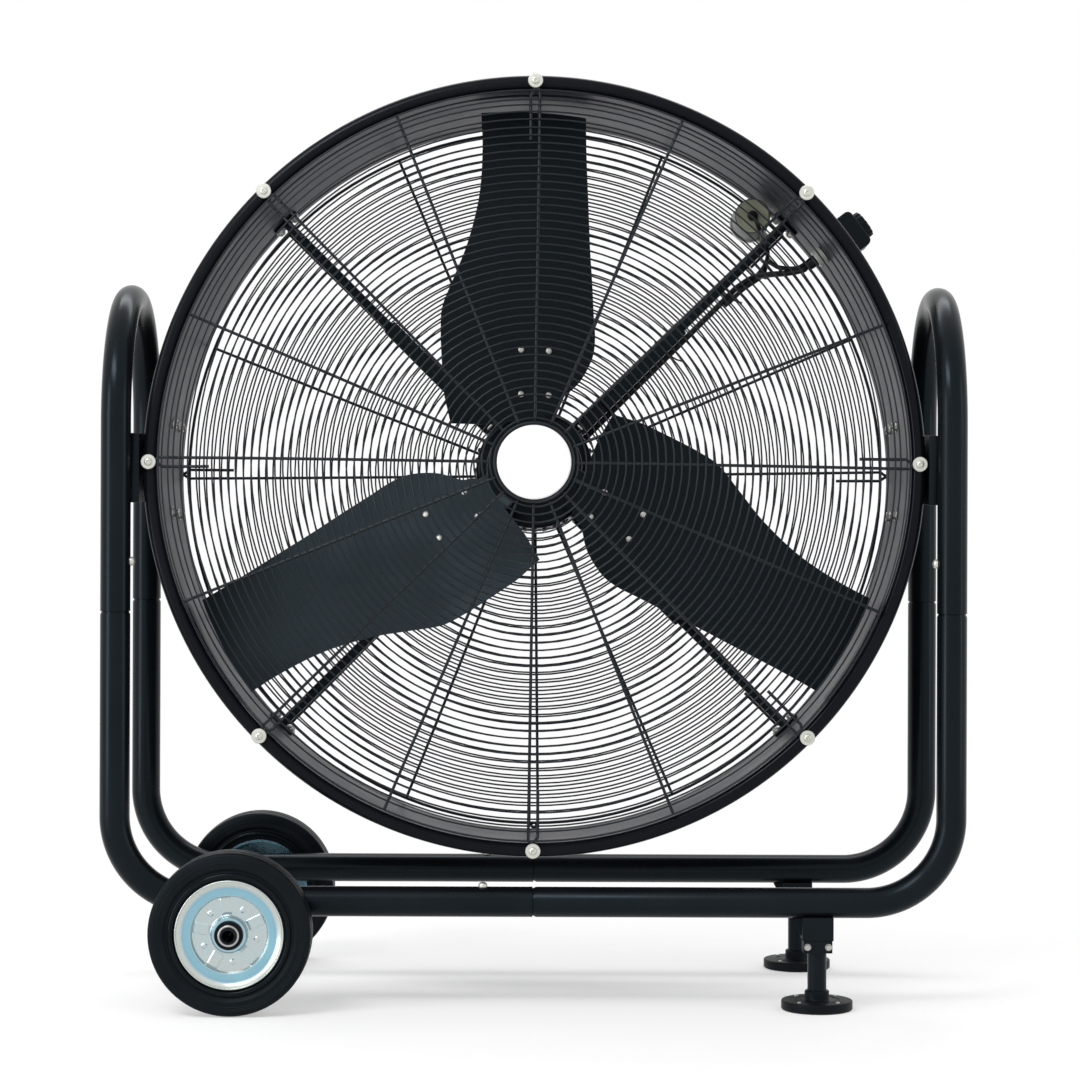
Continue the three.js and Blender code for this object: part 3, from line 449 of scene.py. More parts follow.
BLUISH = (0.64, 0.86, 1.0)
PAINT = finish("black_powder_coat", (0.0030, 0.0040, 0.0052), 0.29, grain=(700.0, 0.00004), patches=5.0,
               specular=0.15, tint=BLUISH, dust=0.08)
DRUM_PAINT = finish("drum_powder_coat", (0.0082, 0.0093, 0.0145), 0.43, grain=(700.0, 0.00004), patches=4.0,
                    specular=0.18, tint=(0.76, 0.81, 1.0), dust=0.12)
ROUGH_PAINT = finish("rough_powder_coat", (0.0036, 0.0046, 0.0058), 0.66, grain=(700.0, 0.00005), patches=14.0,
                     specular=0.15, tint=BLUISH, dust=0.08)
EDGE_PAINT = finish("edge_powder_coat", (0.0032, 0.0036, 0.0050), 0.24, grain=(700.0, 0.00003), patches=4.0,
                    specular=0.10, tint=(0.80, 0.88, 1.0), dust=0.06)
WIRE = finish("coated_wire", (0.0050, 0.0056, 0.0066), 0.36, grain=(1400.0, 0.00002), patches=12.0, specular=0.34,
              tint=(0.74, 0.90, 1.0))
BLADE_PAINT = finish("blade_powder_coat", (0.0040, 0.0052, 0.0068), 0.38, grain=(800.0, 0.00005), patches=6.0,
                     specular=0.16, tint=BLUISH, dust=0.10)
RUBBER = finish("tyre_rubber", (0.0034, 0.0042, 0.0052), 0.48, grain=(1800.0, 0.00005), patches=20.0,
                dust=0.04, specular=0.11, tint=BLUISH, zones=[("lip", (0.0040, 0.0050, 0.0060), -0.28)])
# Rim zones: the step zone paints the recessed step ring, a ring round the nose and the rim's inner side a darker blue,
# and the crease zone paints a dark blue line at the crease; both are painted shade. The flange's cream tone is the
# plating's own colour.
ZINC = finish("blue_zinc", (0.47, 0.56, 0.58), 0.27, metallic=1.0, second=(0.52, 0.55, 0.53), shift=0.07,
              grain=(1300.0, 0.00002), patches=24.0, dust=0.05,
              zones=[("flange", (0.53, 0.57, 0.54), 0.04), ("step", (0.26, 0.47, 0.56), 0.0),
                     ("crease_painted_shade", (0.17, 0.27, 0.52), 0.0)])
STEEL = finish("plated_steel", (0.46, 0.46, 0.43), 0.33, metallic=1.0, second=(0.40, 0.40, 0.37),
               grain=(1600.0, 0.00002), patches=60.0, dust=0.1)
PALE_STEEL = finish("pale_plated_steel", (0.56, 0.57, 0.52), 0.42, metallic=0.8, second=(0.64, 0.64, 0.59),
                    grain=(1600.0, 0.00002), patches=60.0, dust=0.1)
BLACK_PLASTIC = finish("black_plastic", (0.0040, 0.0044, 0.0050), 0.46, grain=(2600.0, 0.00004), patches=25.0,
                       specular=0.11, tint=BLUISH, dust=0.08)
GREY_PLASTIC = finish("grey_plastic", (0.44, 0.45, 0.41), 0.40, grain=(2200.0, 0.00003), patches=40.0)
CAPACITOR = finish("grey_beige_plastic", (0.24, 0.25, 0.18), 0.40, grain=(2200.0, 0.00003), patches=40.0,
                   zones=[("edge", (0.05, 0.055, 0.045), 0.0)])
BADGE_WHITE = finish("white_plastic", (0.825, 0.825, 0.825), 0.24, second=(0.81, 0.81, 0.81), shift=0.03,
                     grain=(500.0, 0.00001), patches=30.0, specular=0.3, dust=0.05)
CABLE = finish("cable_jacket", (0.0040, 0.0040, 0.0045), 0.45, grain=(1500.0, 0.00003), patches=40.0,
               specular=0.2)


def band(value, low, high, soft):
    """1 between low and high, easing to 0 over soft on either side."""
    return smooth_step((value - low) / soft + 0.5) * smooth_step((high - value) / soft + 0.5)


def mark(obj, title, value_at):
    """Stores a zone on the mesh: an attribute with a value from 0 to 1 for each vertex, from its place."""
    points = np.empty(len(obj.data.vertices) * 3, np.float32)
    obj.data.vertices.foreach_get("co", points)
    values = np.asarray(value_at(points.reshape(-1, 3).astype(float)), np.float32)
    obj.data.attributes.new(title, "FLOAT", "POINT").data.foreach_set("value", values)


# ---- Stand ----

def hollow_tube(centres, tangents, outer, inner, normal, sides=40):
    """A tube's outer and inner surface round a path in a plane, joined by its two end rings."""
    there, _ = pipe(centres, tangents, outer, sides, normal)
    back, _ = pipe(centres, tangents, inner, sides, normal)
    rows = len(centres)
    rings = np.concatenate([there.reshape(rows, sides, 3), back.reshape(rows, sides, 3)[::-1]])
    return outward(rings.reshape(-1, 3), [grid_faces(2 * rows, sides, wrap_rows=True)])


BORE = TUBE_RADIUS - TUBE_WALL
SPIGOT = BORE - SEAT_GAP
SPIGOT_BORE = SPIGOT - TUBE_WALL
SPIGOT_LENGTH = 0.090


def arch_tube(side):
    """Leg, half circle, leg: y = -c cos a, z = ARCH_Z + c sin a with c the half depth of the stand."""
    a = np.linspace(0, np.pi, 65)
    foot = JOINT_Z + SEAT_GAP
    yz = np.concatenate([[[-LEG_Y, foot]], np.stack([-LEG_Y * np.cos(a), ARCH_Z + LEG_Y * np.sin(a)], 1),
                         [[LEG_Y, foot]]])
    tangents = np.concatenate([[[0, 1]], np.stack([np.sin(a), np.cos(a)], 1), [[0, -1]]])
    x = np.full(len(yz), side * LEG_X)
    centres = np.column_stack([x, yz])
    return hollow_tube(centres, np.column_stack([0 * x, tangents]), TUBE_RADIUS, BORE, (1, 0, 0))


def rail_tube(side, depth):
    """Spigot, swage, leg, quarter bend of CORNER_RADIUS and rail, to the swage and spigot at the middle."""
    a = np.linspace(0, np.pi / 2, 33)
    bend_x, bend_z = LEG_X - CORNER_RADIUS, RAIL_Z + CORNER_RADIUS
    bend = np.stack([bend_x + CORNER_RADIUS * np.cos(a), bend_z - CORNER_RADIUS * np.sin(a)], 1)
    leg = [(LEG_X, JOINT_Z + SPIGOT_LENGTH), (LEG_X, JOINT_Z), (LEG_X, JOINT_Z - SWAGE)]
    mate = SEAT_GAP / 2
    rail = ([(mate + SWAGE, RAIL_Z), (mate, RAIL_Z), (mate - SPIGOT_LENGTH, RAIL_Z)] if side > 0
            else [(mate, RAIL_Z)])
    xz = np.concatenate([leg, bend, rail])
    turn = np.concatenate([np.zeros(3), a, np.full(len(rail), np.pi / 2)])
    outer, inner = np.full(len(xz), TUBE_RADIUS), np.full(len(xz), BORE)
    outer[:2], inner[:3] = SPIGOT, SPIGOT_BORE
    if side > 0:
        outer[-2:], inner[-3:] = SPIGOT, SPIGOT_BORE
    centres = np.column_stack([side * xz[:, 0], np.full(len(xz), depth * LEG_Y), xz[:, 1]])
    tangents = np.column_stack([-side * np.sin(turn), 0 * turn, -np.cos(turn)])
    return hollow_tube(centres, tangents, outer, inner, (0, 1, 0))


for side_name, side in (("left", -1), ("right", 1)):
    piece(f"arch_{side_name}", [arch_tube(side)], "stand", PAINT, [f"{side_name}_arch"])
    for depth_name, depth in (("front", -1), ("rear", 1)):
        piece(f"rail_{depth_name}_{side_name}", [rail_tube(side, depth)], "stand", PAINT,
              [f"{depth_name}_{side_name}_rail"])
    softened(f"crossbar_{side_name}", f"{side_name}_crossbar", PAINT, 0.0012)
    softened(f"pivot_bolt_{side_name}", f"{side_name}_pivot_bolt", STEEL, 0.0008)

# Screws that lock the tube joints: on the inner side of each leg, and on each rail near its middle.
JOINT_SCREW_RISE = 0.063
joint_screw = pan_head(0.0058, 0.0062)
on_tube = TUBE_RADIUS - 0.0002
joint_screws = [aimed(joint_screw, (side * (LEG_X - on_tube), depth * LEG_Y, JOINT_Z + JOINT_SCREW_RISE),
                      (-side, 0, 0))
                for side in (-1, 1) for depth in (-1, 1)]
joint_screws += [aimed(joint_screw, (-JOINT_SCREW_RISE, depth * LEG_Y, RAIL_Z + on_tube), (0, 0, 1))
                 for depth in (-1, 1)]
piece("joint_screws", joint_screws, "stand", PALE_STEEL)


# ---- Wheels ----
HALF = WHEEL_WIDTH / 2
BUSH_FLANGE, WASHER_GAP, WASHER_DEPTH = 0.003, 0.0006, 0.0025
AXLE_STUB, AXLE_CHAMFER = 0.004, 0.0008
wheel_end = WHEEL_Y + HALF + BUSH_FLANGE + WASHER_GAP + WASHER_DEPTH + AXLE_STUB
axle_line = np.array([[WHEEL_X, -wheel_end, WHEEL_RADIUS], [WHEEL_X, -wheel_end + AXLE_CHAMFER, WHEEL_RADIUS],
                      [WHEEL_X, wheel_end - AXLE_CHAMFER, WHEEL_RADIUS], [WHEEL_X, wheel_end, WHEEL_RADIUS]])
axle_radii = np.array([AXLE_RADIUS - AXLE_CHAMFER, AXLE_RADIUS, AXLE_RADIUS, AXLE_RADIUS - AXLE_CHAMFER])
piece("axle", [hollow_tube(axle_line, np.tile([0.0, 1.0, 0.0], (4, 1)), axle_radii, AXLE_RADIUS - 0.0025,
                           (1, 0, 0))], "stand", PAINT, ["wheel_axle"])

BEAD_R = RIM_RADIUS - 0.003 + SEAT_GAP
COVE = 0.0028


def tyre_profile():
    """Sidewall: a glossy lip at the rim, a cove of depth COVE, a flat ring with three fine moulded rings,
    a crisp shoulder. Tread: slightly crowned, with two grooves."""
    r = np.linspace(RIM_RADIUS + 0.0098, WHEEL_RADIUS - 0.0062, 90)
    ripple = 0.0005 * np.exp(-((r[:, None] - np.array([0.0900, 0.0922, 0.0944])) / 0.0006) ** 2).sum(1)
    side = np.column_stack([r, HALF - 0.0009 - COVE * (1 - smooth_step((r - 0.0785) / 0.0055)) + ripple])
    lip = arc_points((RIM_RADIUS + 0.0055, HALF - 0.0042), 0.0038, 190, 20, 14)
    shoulder = arc_points((WHEEL_RADIUS - 0.0055, HALF - 0.0065), 0.0050, 80, 0, 10)
    y = np.linspace(HALF - 0.0075, 0, 40)
    groove = 0.0018 * np.exp(-((y - 0.0075) / 0.0013) ** 4)
    tread = np.column_stack([WHEEL_RADIUS - 0.0012 * (y / HALF) ** 2 - groove, y])
    half = [(BEAD_R, HALF - 0.005), (RIM_RADIUS + 0.0005, HALF - 0.0046)] + lip + side.tolist() + shoulder
    half += tread.tolist()
    mirrored = [(a, -b) for a, b in half[::-1]][1:]
    return half + mirrored


def wheel_reach(points):
    """Distance from the wheels' axis."""
    return np.hypot(points[:, 0] - WHEEL_X, points[:, 2] - WHEEL_RADIUS)


def outer_side(points):
    """1 on the side of a wheel that faces away from the stand, from the front of its disc outwards."""
    return smooth_step((np.abs(points[:, 1]) - WHEEL_Y - 0.0085) / 0.002)


def rim_surface(segments=360):
    """The rim's profile carried round Y, with five pressed ribs and five nubs on its disc: the depth is
    shifted by h = (rib(x) + nub(d)) w(r), where x is the distance from the rib's middle line, d that from
    the nub's centre, and w rises and falls over the disc."""
    front, boss, barrel = -HALF + 0.012, -HALF + 0.003, RIM_RADIUS - 0.003
    inner, dish = barrel - 0.003, 0.049
    lip = arc_points((RIM_RADIUS - 0.0012, -HALF + 0.0022), 0.0012, 0, -180, 8)
    step = [(inner + 0.0005, -HALF + 0.0030), (inner - 0.001, -HALF + 0.0042), (dish + 0.009, -HALF + 0.0052),
            (dish + 0.0055, -HALF + 0.0056), (dish + 0.0035, -HALF + 0.0062), (dish + 0.001, -HALF + 0.0064),
            (dish - 0.0008, -HALF + 0.0072), (dish - 0.002, front - 0.002)]
    radii = np.linspace(0.0465, 0.0245, 24)
    disc = np.column_stack([radii, np.full(24, front)]).tolist()
    nose = [(0.0230, front - 0.0012), (0.0222, front - 0.004), (0.0219, boss + 0.0015), (0.0210, boss + 0.0003),
            (0.0195, boss), (0.0163, boss)]
    back = [(0.0163, HALF - 0.006), (0.0210, HALF - 0.006), (0.0210, front + 0.006), (dish - 0.003, front + 0.006),
            (inner, front + 0.006), (inner, HALF - 0.0047), (barrel, HALF - 0.0047), (barrel, -HALF + 0.0047)]
    profile = np.array(lip + step + disc + nose + back)
    (points, faces) = revolve(profile, segments)
    shape = points.reshape(len(profile), segments, 3)
    angle = np.degrees(np.arctan2(shape[..., 2], shape[..., 0]))
    r = np.hypot(shape[..., 0], shape[..., 2])
    from_rib = (angle - 25 + 36) % 72 - 36
    from_dimple = (angle - 61 + 36) % 72 - 36
    window = smooth_step((r - 0.0240) / 0.005) * smooth_step((0.0478 - r) / 0.004)
    rib = 0.0011 * (1 - smooth_step((np.abs(np.sin(np.radians(from_rib)) * r) - 0.0058) / 0.0016)) * window
    reach = np.hypot(np.radians(from_dimple) * 0.0345, r - 0.0345)
    dimple = 0.0014 * (1 - smooth_step((reach - 0.0022) / 0.0018)) * window
    on_disc = np.zeros(len(profile), bool)
    on_disc[len(lip) + len(step) - 2:len(lip) + len(step) + len(disc) + 1] = True
    shape[on_disc, :, 1] += (-rib - dimple)[on_disc]
    return shape.reshape(-1, 3), faces


def at_wheel(shape, depth):
    """The wheel's outer face looks along -Y in front and along +Y at the back."""
    return moved(shape, np.diag([-1.0, -1.0, 1.0]) if depth > 0 else None, (WHEEL_X, depth * WHEEL_Y, WHEEL_RADIUS))


bush_bore = AXLE_RADIUS + SEAT_GAP
bushing_profile = ([(bush_bore, -HALF - 0.0026), (bush_bore + 0.0005, -HALF - 0.003), (0.0168, -HALF - 0.003)]
                   + arc_points((0.0168, -HALF - 0.0018), 0.0012, -90, 0, 6)
                   + [(0.018, -HALF + 0.0027), (0.016, -HALF + 0.0027), (0.016, HALF - 0.002),
                      (bush_bore, HALF - 0.002)])
washer_seat = -HALF - BUSH_FLANGE - WASHER_GAP
washer_profile = ([(bush_bore, washer_seat), (0.0135, washer_seat), (0.0135, washer_seat - 0.0013)]
                  + arc_points((0.0121, washer_seat - 0.0013), 0.0014, 0, -80, 6, 0.86)
                  + [(bush_bore + 0.001, washer_seat - 0.0025), (bush_bore, washer_seat - 0.0021)])
for end_name, depth in (("front", -1), ("rear", 1)):
    wheel = f"{end_name}_wheel"
    tyre = piece(f"tyre_{end_name}", [at_wheel(revolve(tyre_profile(), 160), depth)], wheel, RUBBER,
                 [f"{end_name}_tyre"], sharp=50)
    mark(tyre, "lip", lambda p: band(wheel_reach(p), 0.0680, 0.0772, 0.001))
    rim = piece(f"rim_{end_name}", [at_wheel(rim_surface(), depth)], wheel, ZINC, [f"{end_name}_rim"],
                sharp=40)
    mark(rim, "flange", lambda p: outer_side(p) * band(wheel_reach(p), 0.0592, 0.0800, 0.0012))
    # Painted shade: the step ring, the ring round the nose and the inner side of the rim turn a darker blue.
    mark(rim, "step", lambda p: 1 - outer_side(p) * (1 - band(wheel_reach(p), 0.0482, 0.0592, 0.0012)
                                                     - 0.6 * band(wheel_reach(p), 0.0150, 0.0225, 0.001)))
    # Painted shade: a dark blue line along the crease between flange and step.
    mark(rim, "crease_painted_shade", lambda p: 0.7 * outer_side(p) * band(wheel_reach(p), 0.0582, 0.0594, 0.0010))
    piece(f"bushing_{end_name}", [at_wheel(revolve(bushing_profile, 48), depth)], wheel,
          BLACK_PLASTIC, [f"{end_name}_wheel_bushing"])
    piece(f"washer_{end_name}", [at_wheel(revolve(washer_profile, 48), depth)], "stand", STEEL,
          [f"{end_name}_axle_washer"])
    softened(f"axle_saddle_{end_name}", f"{end_name}_axle_bracket", PAINT, 0.0015)


# ---- Feet ----
base_profile = ([(0, 0), (FOOT_RADIUS - 0.0015, 0), (FOOT_RADIUS, 0.0015)]
                + arc_points((FOOT_RADIUS - 0.0018, FOOT_THICKNESS - 0.0018), 0.0018, 0, 90, 7)
                + [(0.0290, FOOT_THICKNESS), (0.0285, FOOT_THICKNESS - 0.0006), (0.0270, FOOT_THICKNESS - 0.0006),
                   (0.0265, FOOT_THICKNESS), (0.0175, FOOT_THICKNESS)]
                + arc_points((0.0175, FOOT_THICKNESS + 0.002), 0.002, -90, -180, 5)
                + [(0.0155, FOOT_THICKNESS + 0.011), (0.0145, FOOT_THICKNESS + 0.012),
                   (POST_RADIUS + SEAT_GAP, FOOT_THICKNESS + 0.012), (POST_RADIUS + SEAT_GAP, FOOT_THICKNESS),
                   (0, FOOT_THICKNESS)])
UP = (0, 0, 1)
POST_TOP, CLAMP_Z = 0.109, 0.0804
BOX_FRONT = 0.017
BASE_SCREWS = 0.0355
for end_name, depth in (("front", -1), ("rear", 1)):
    centre = np.array([FOOT_X, depth * LEG_Y, 0.0])
    piece(f"base_{end_name}", [aimed(revolve(base_profile, 96, wrap=False), centre, UP)], "stand",
          BLACK_PLASTIC, [f"{end_name}_foot_base"])
    screws = [aimed(pan_head(0.0027, 0.0018), centre + [BASE_SCREWS * math.cos(a), BASE_SCREWS * math.sin(a),
                                                        FOOT_THICKNESS - 0.0001], UP)
              for a in np.radians([47, 133, 227, 313])]
    piece(f"base_screws_{end_name}", screws, "stand", STEEL)
    post = np.array([[0, 0, FOOT_THICKNESS + SEAT_GAP], [0, 0, POST_TOP]]) + centre
    piece(f"post_{end_name}", [hollow_tube(post, np.tile([0.0, 0.0, 1.0], (2, 1)), POST_RADIUS, POST_RADIUS - 0.002,
                                           (0, 1, 0))], "stand", PAINT, [f"{end_name}_foot_post"])
    softened(f"clamp_{end_name}", f"{end_name}_foot_clamp", ROUGH_PAINT, 0.0026)
    softened(f"bracket_{end_name}", f"{end_name}_foot_bracket", ROUGH_PAINT, 0.0014)
    bolts = []
    for x in (-0.0132, 0.0132):
        seat = centre + [x, depth * BOX_FRONT, CLAMP_Z]
        outwards = (0, depth, 0)
        bolts += [aimed(revolve([(0, 0), (0.0044, 0), (0.0044, 0.0008), (0, 0.0008)], 28, wrap=False), seat, outwards),
                  aimed(hexagon(0.0040, 0.0032), seat + np.array([0, depth * 0.0008, 0]), outwards)]
    piece(f"clamp_bolts_{end_name}", bolts, "stand", STEEL)


# ---- Drum ----
FACE = DRUM_FRONT - SEAT_GAP
RIB_RISE, RIB_HALF = 0.0030, 0.009


ROLL_CENTRE, ROLL_RADIAL = 0.487, 0.009
SHEET_END = 0.0090


def drum_sheet():
    """Sheet whose ends go into the rolled edges, with two outward ribs of height RIB_RISE cos^2 across."""
    inner, outer = DRUM_RADIUS - DRUM_WALL, DRUM_RADIUS
    y = np.linspace(DRUM_FRONT + SHEET_END, DRUM_REAR - SHEET_END, 156)
    lift = sum(RIB_RISE * np.where(abs(y - at) < RIB_HALF, np.cos(np.pi * (y - at) / (2 * RIB_HALF)) ** 2, 0)
               for at in (-0.140, 0.092))
    return list(zip(outer + lift, y)) + list(zip(inner + lift[::-1], y[::-1]))


def drum_roll(edge):
    """The sheet's edge rolled over a wire: an ellipse that touches the inner wall."""
    a = np.linspace(0, 2 * np.pi, 40, endpoint=False)
    return list(zip(ROLL_CENTRE + ROLL_RADIAL * np.cos(a), edge + BEAD / 2 * np.sin(a)))


piece("drum", [tilted(revolve(drum_sheet(), 288))], "drum", DRUM_PAINT, ["drum_shell"])
piece("drum_edges", [tilted(revolve(drum_roll(edge), 288)) for edge in (DRUM_FRONT + BEAD / 2, DRUM_REAR - BEAD / 2)],
      "drum", EDGE_PAINT)

PLATE_ANGLE = 7
plate_bolts, plate_heads = [], []
for side_angle in (0, 180):
    softened(f"pivot_plate_{'right' if side_angle == 0 else 'left'}",
             f"{'right' if side_angle == 0 else 'left'}_pivot_plate", PAINT, 0.0010)
    for across in (-0.039, 0.039):
        for turn in (-PLATE_ANGLE, PLATE_ANGLE):
            out = (1, 0, 0)
            seat = (DRUM_RADIUS + SEAT_GAP + 0.004, across, 0)
            nut = [aimed(revolve([(0, 0), (0.0085, 0), (0.0085, 0.0012), (0, 0.0012)], 28, wrap=False), seat, out),
                   aimed(hexagon(0.0066, 0.0050), (seat[0] + 0.0012, across, 0), out),
                   aimed(revolve([(0, 0), (0.0036, 0), (0.0036, 0.0088), (0.0030, 0.0094), (0, 0.0094)], 24,
                                 wrap=False), seat, out)]
            plate_bolts += [swung(shape, side_angle + turn) for shape in nut]
            head = [aimed(revolve([(0, 0), (0.0080, 0), (0.0078, 0.0012), (0, 0.0012)], 28, wrap=False),
                          (DRUM_RADIUS - DRUM_WALL, across, 0), (-1, 0, 0)),
                    aimed(hexagon(0.0062, 0.0040), (DRUM_RADIUS - DRUM_WALL - 0.0012, across, 0), (-1, 0, 0)),
                    aimed(revolve([(0, 0), (0.0032, 0), (0.0032, 0.0066), (0, 0.0070)], 20, wrap=False),
                          (DRUM_RADIUS - DRUM_WALL - 0.0012, across, 0), (-1, 0, 0))]
            plate_heads += [swung(shape, side_angle + turn) for shape in head]
piece("plate_nuts", [tilted(s) for s in plate_bolts], "drum", STEEL)
piece("plate_bolt_ends", [tilted(s) for s in plate_heads], "drum", STEEL)

# ---- Guards of welded wire ----
DOME_RADIUS = 0.455
FRONT_DOME, REAR_DOME = 0.020, 0.014
SPOKES = 16
SPOKE_WIRE, RING_WIRE = 0.0020, 0.0011
EYE_HALF = 0.0060
EYE_END = 0.411
RING_PITCH = 0.01003
FIRST_RING = 0.0560
OUTER_RINGS = (0.4380, 0.4480, 0.4568, 0.4635)


def dome(r, height):
    return height * (1 - np.minimum(1, np.asarray(r) / DOME_RADIUS) ** 4)


def wire_ring(radius, y, wire, sides=8):
    segments = int(np.clip(radius / 0.0035, 48, 176))
    return revolve(arc_points((radius, y), wire, 0, 360 - 360 / sides, sides), segments)


def radial_wire(points, wire, base, sense, height, sides=8):
    """A wire through points (along, across) of one screw's direction, laid on the dome."""
    points = np.asarray(points, float)
    r = np.hypot(points[:, 0], points[:, 1])
    y = base + sense * dome(r, height)
    centres = np.column_stack([points[:, 0], y, points[:, 1]])
    return pipe(centres, np.gradient(centres, axis=0), wire, sides)


def wire_guard(sense, height, seat, lean, rings, rim, rim_wire, hub):
    """Spokes that lie on the drum's edge, every second one bent into an eye for a screw, under rings.
    sense is -1 for the front (the rings look forward) and 1 for the back."""
    spoke_y = seat + sense * SPOKE_WIRE
    ring_y = seat + sense * (2 * SPOKE_WIRE + RING_WIRE - 0.0003)
    shapes = [wire_ring(r, ring_y + sense * float(dome(r, height)), RING_WIRE) for r in rings]
    shapes.append(wire_ring(rim, seat + sense * (2 * SPOKE_WIRE + rim_wire - 0.0003), rim_wire))
    reach = np.concatenate([np.linspace(hub, DOME_RADIUS, 40), [rim]])
    for k in range(SPOKES):
        angle = k * 360 / SPOKES
        if k % 2:
            line = np.column_stack([reach, 0 * reach])
            shapes.append(swung(radial_wire(line, SPOKE_WIRE, spoke_y, sense, height), angle + lean))
            continue
        across = math.copysign(EYE_HALF, lean)
        slope = across / SCREW_CIRCLE
        there = np.column_stack([reach, reach * slope])
        eye = np.array([(SCREW_CIRCLE + EYE_HALF * math.cos(t), EYE_HALF * math.sin(t))
                        for t in np.radians(np.linspace(-90, 90, 15))]) * [1, math.copysign(1, across)]
        back = np.column_stack([np.linspace(0.470, EYE_END, 14), np.full(14, -across)])
        line = np.concatenate([there, eye, back])
        shapes.append(swung(radial_wire(line, SPOKE_WIRE, spoke_y, sense, height), angle))
    return shapes


front_rings = list(np.arange(FIRST_RING, 0.4335, RING_PITCH)) + list(OUTER_RINGS)
front_wires = wire_guard(-1, FRONT_DOME, FACE, -0.7, front_rings, 0.4755, RING_WIRE, 0.053)
BADGE_SEAT = FACE - 0.004 - FRONT_DOME
holder = ([(0, BADGE_SEAT), (0.0482, BADGE_SEAT), (0.0486, BADGE_SEAT - 0.0016)]
          + arc_points((0.0502, BADGE_SEAT - 0.0016), 0.0016, 180, 360, 9)
          + [(0.0530, BADGE_SEAT + 0.0004), (0.0552, BADGE_SEAT + 0.0018), (0.0552, BADGE_SEAT + 0.0032),
             (0.0545, BADGE_SEAT + 0.0040), (0, BADGE_SEAT + 0.0040)])
piece("guard_front", [tilted(s) for s in front_wires + [revolve(holder, 128, wrap=False)]], "drum",
      WIRE, ["front_guard"], weld=False, sharp=50)

REAR_SEAT = DRUM_REAR + SEAT_GAP
rear_rings = list(np.arange(0.0683, 0.459, 0.0100))
rear_wires = wire_guard(1, REAR_DOME, REAR_SEAT, 1.0, rear_rings, 0.4715, 0.0021, 0.058)
hub_ring = REAR_SEAT + REAR_DOME
rear_wires.append(revolve([(0.0545, hub_ring), (0.0615, hub_ring), (0.0620, hub_ring + 0.0010),
                           (0.0605, hub_ring + 0.0055), (0.0560, hub_ring + 0.0060), (0.0545, hub_ring + 0.0045)], 96))
piece("guard_rear", [tilted(s) for s in rear_wires], "drum", WIRE, ["rear_guard"], weld=False, sharp=50)

# Guard screws: a large pale washer, a rounded head with a driver recess.
screw_seat = FACE - 0.004 - SEAT_GAP
WASHER_R, HEAD_R, HEAD_H = 0.0095, 0.0050, 0.0036


def guard_screw(seat, sense):
    washer = [(0, seat), (WASHER_R, seat), (WASHER_R, seat + sense * 0.0011),
              (WASHER_R - 0.0006, seat + sense * 0.0018),
              (HEAD_R + 0.0012, seat + sense * 0.0020), (0, seat + sense * 0.0020)]
    top = seat + sense * 0.0020
    head = ([(0, top), (HEAD_R, top), (HEAD_R, top + sense * 0.0009)]
            + [(HEAD_R * math.cos(t), top + sense * (0.0009 + (HEAD_H - 0.0009) * math.sin(t)))
               for t in np.linspace(0.2, 1.1, 6)]
            + [(0.0021, top + sense * HEAD_H), (0.0016, top + sense * (HEAD_H - 0.0016)),
               (0, top + sense * (HEAD_H - 0.0018))])
    place = (SCREW_CIRCLE, 0, 0)
    return [moved(revolve(washer, 40, wrap=False), shift=place), moved(revolve(head, 32, wrap=False), shift=place)]


for index in range(8):
    turned = [tilted(swung(s, 90 - index * 45)) for s in guard_screw(screw_seat, -1)]
    piece(f"screw_front_{index + 1}", turned, "drum", PALE_STEEL, [f"guard_screw_{index + 1}"])
rear_screws = [tilted(swung(s, 90 - index * 45)) for index in range(8)
               for s in guard_screw(REAR_SEAT + 2 * SPOKE_WIRE, 1)]
piece("screws_rear", rear_screws, "drum", PALE_STEEL)

badge_top = BADGE_SEAT - SEAT_GAP
badge_profile = ([(0, badge_top), (0.0466, badge_top), (0.0470, badge_top - 0.0010)]
                 + [(0.0470 - 0.003 * (1 - math.cos(t)), badge_top - 0.0010 - 0.0016 * math.sin(t))
                    for t in np.linspace(0.2, np.pi / 2, 8)]
                 + [(0.030, badge_top - 0.0029), (0.012, badge_top - 0.0030), (0, badge_top - 0.0030)])
piece("badge_disc", [tilted(revolve(badge_profile, 128, wrap=False))], "drum", BADGE_WHITE, ["badge"])


# ---- Motor and struts ----
MOTOR_R, MOTOR_FRONT, MOTOR_REAR = 0.080, -0.030, 0.110
SHAFT_R = 0.0095


def finned_body(start, end, segments=288, fins=36):
    """A round body whose radius carries fins: r = r0 + h square-ish wave of the angle."""
    y = np.array([start, start + 0.002, end - 0.002, end])
    angle = np.arange(segments) * 2 * np.pi / segments
    wave = np.clip(1.6 * np.cos(fins * angle), -1, 1)
    r = MOTOR_R - 0.0028 + 0.0024 * wave
    r = np.stack([r - 0.0015, r, r, r - 0.0015])
    points = np.stack([r * np.sin(angle), np.repeat(y[:, None], segments, 1), r * np.cos(angle)], -1)
    cap = np.arange(segments)[None]
    return outward(points.reshape(-1, 3), [grid_faces(4, segments), cap[:, ::-1], cap + 3 * segments])


def bell(face, sense):
    """A cast end shield, from its rim on the body to a flat nose round the shaft."""
    profile = [(0, face - sense * 0.013), (0.0765, face - sense * 0.013), (0.0770, face - sense * 0.0105)]
    profile += [(0.0680 + 0.009 * math.cos(t), face - sense * (0.0100 - 0.0060 * math.sin(t)))
                for t in np.linspace(0, np.pi / 2, 9)]
    profile += [(0.050, face - sense * 0.0026), (0.040, face - sense * 0.0020), (0.0385, face - sense * 0.0004),
                (0.0375, face), (0.018, face), (0.0170, face - sense * 0.0014), (0, face - sense * 0.0014)]
    return revolve(profile, 96, wrap=False)


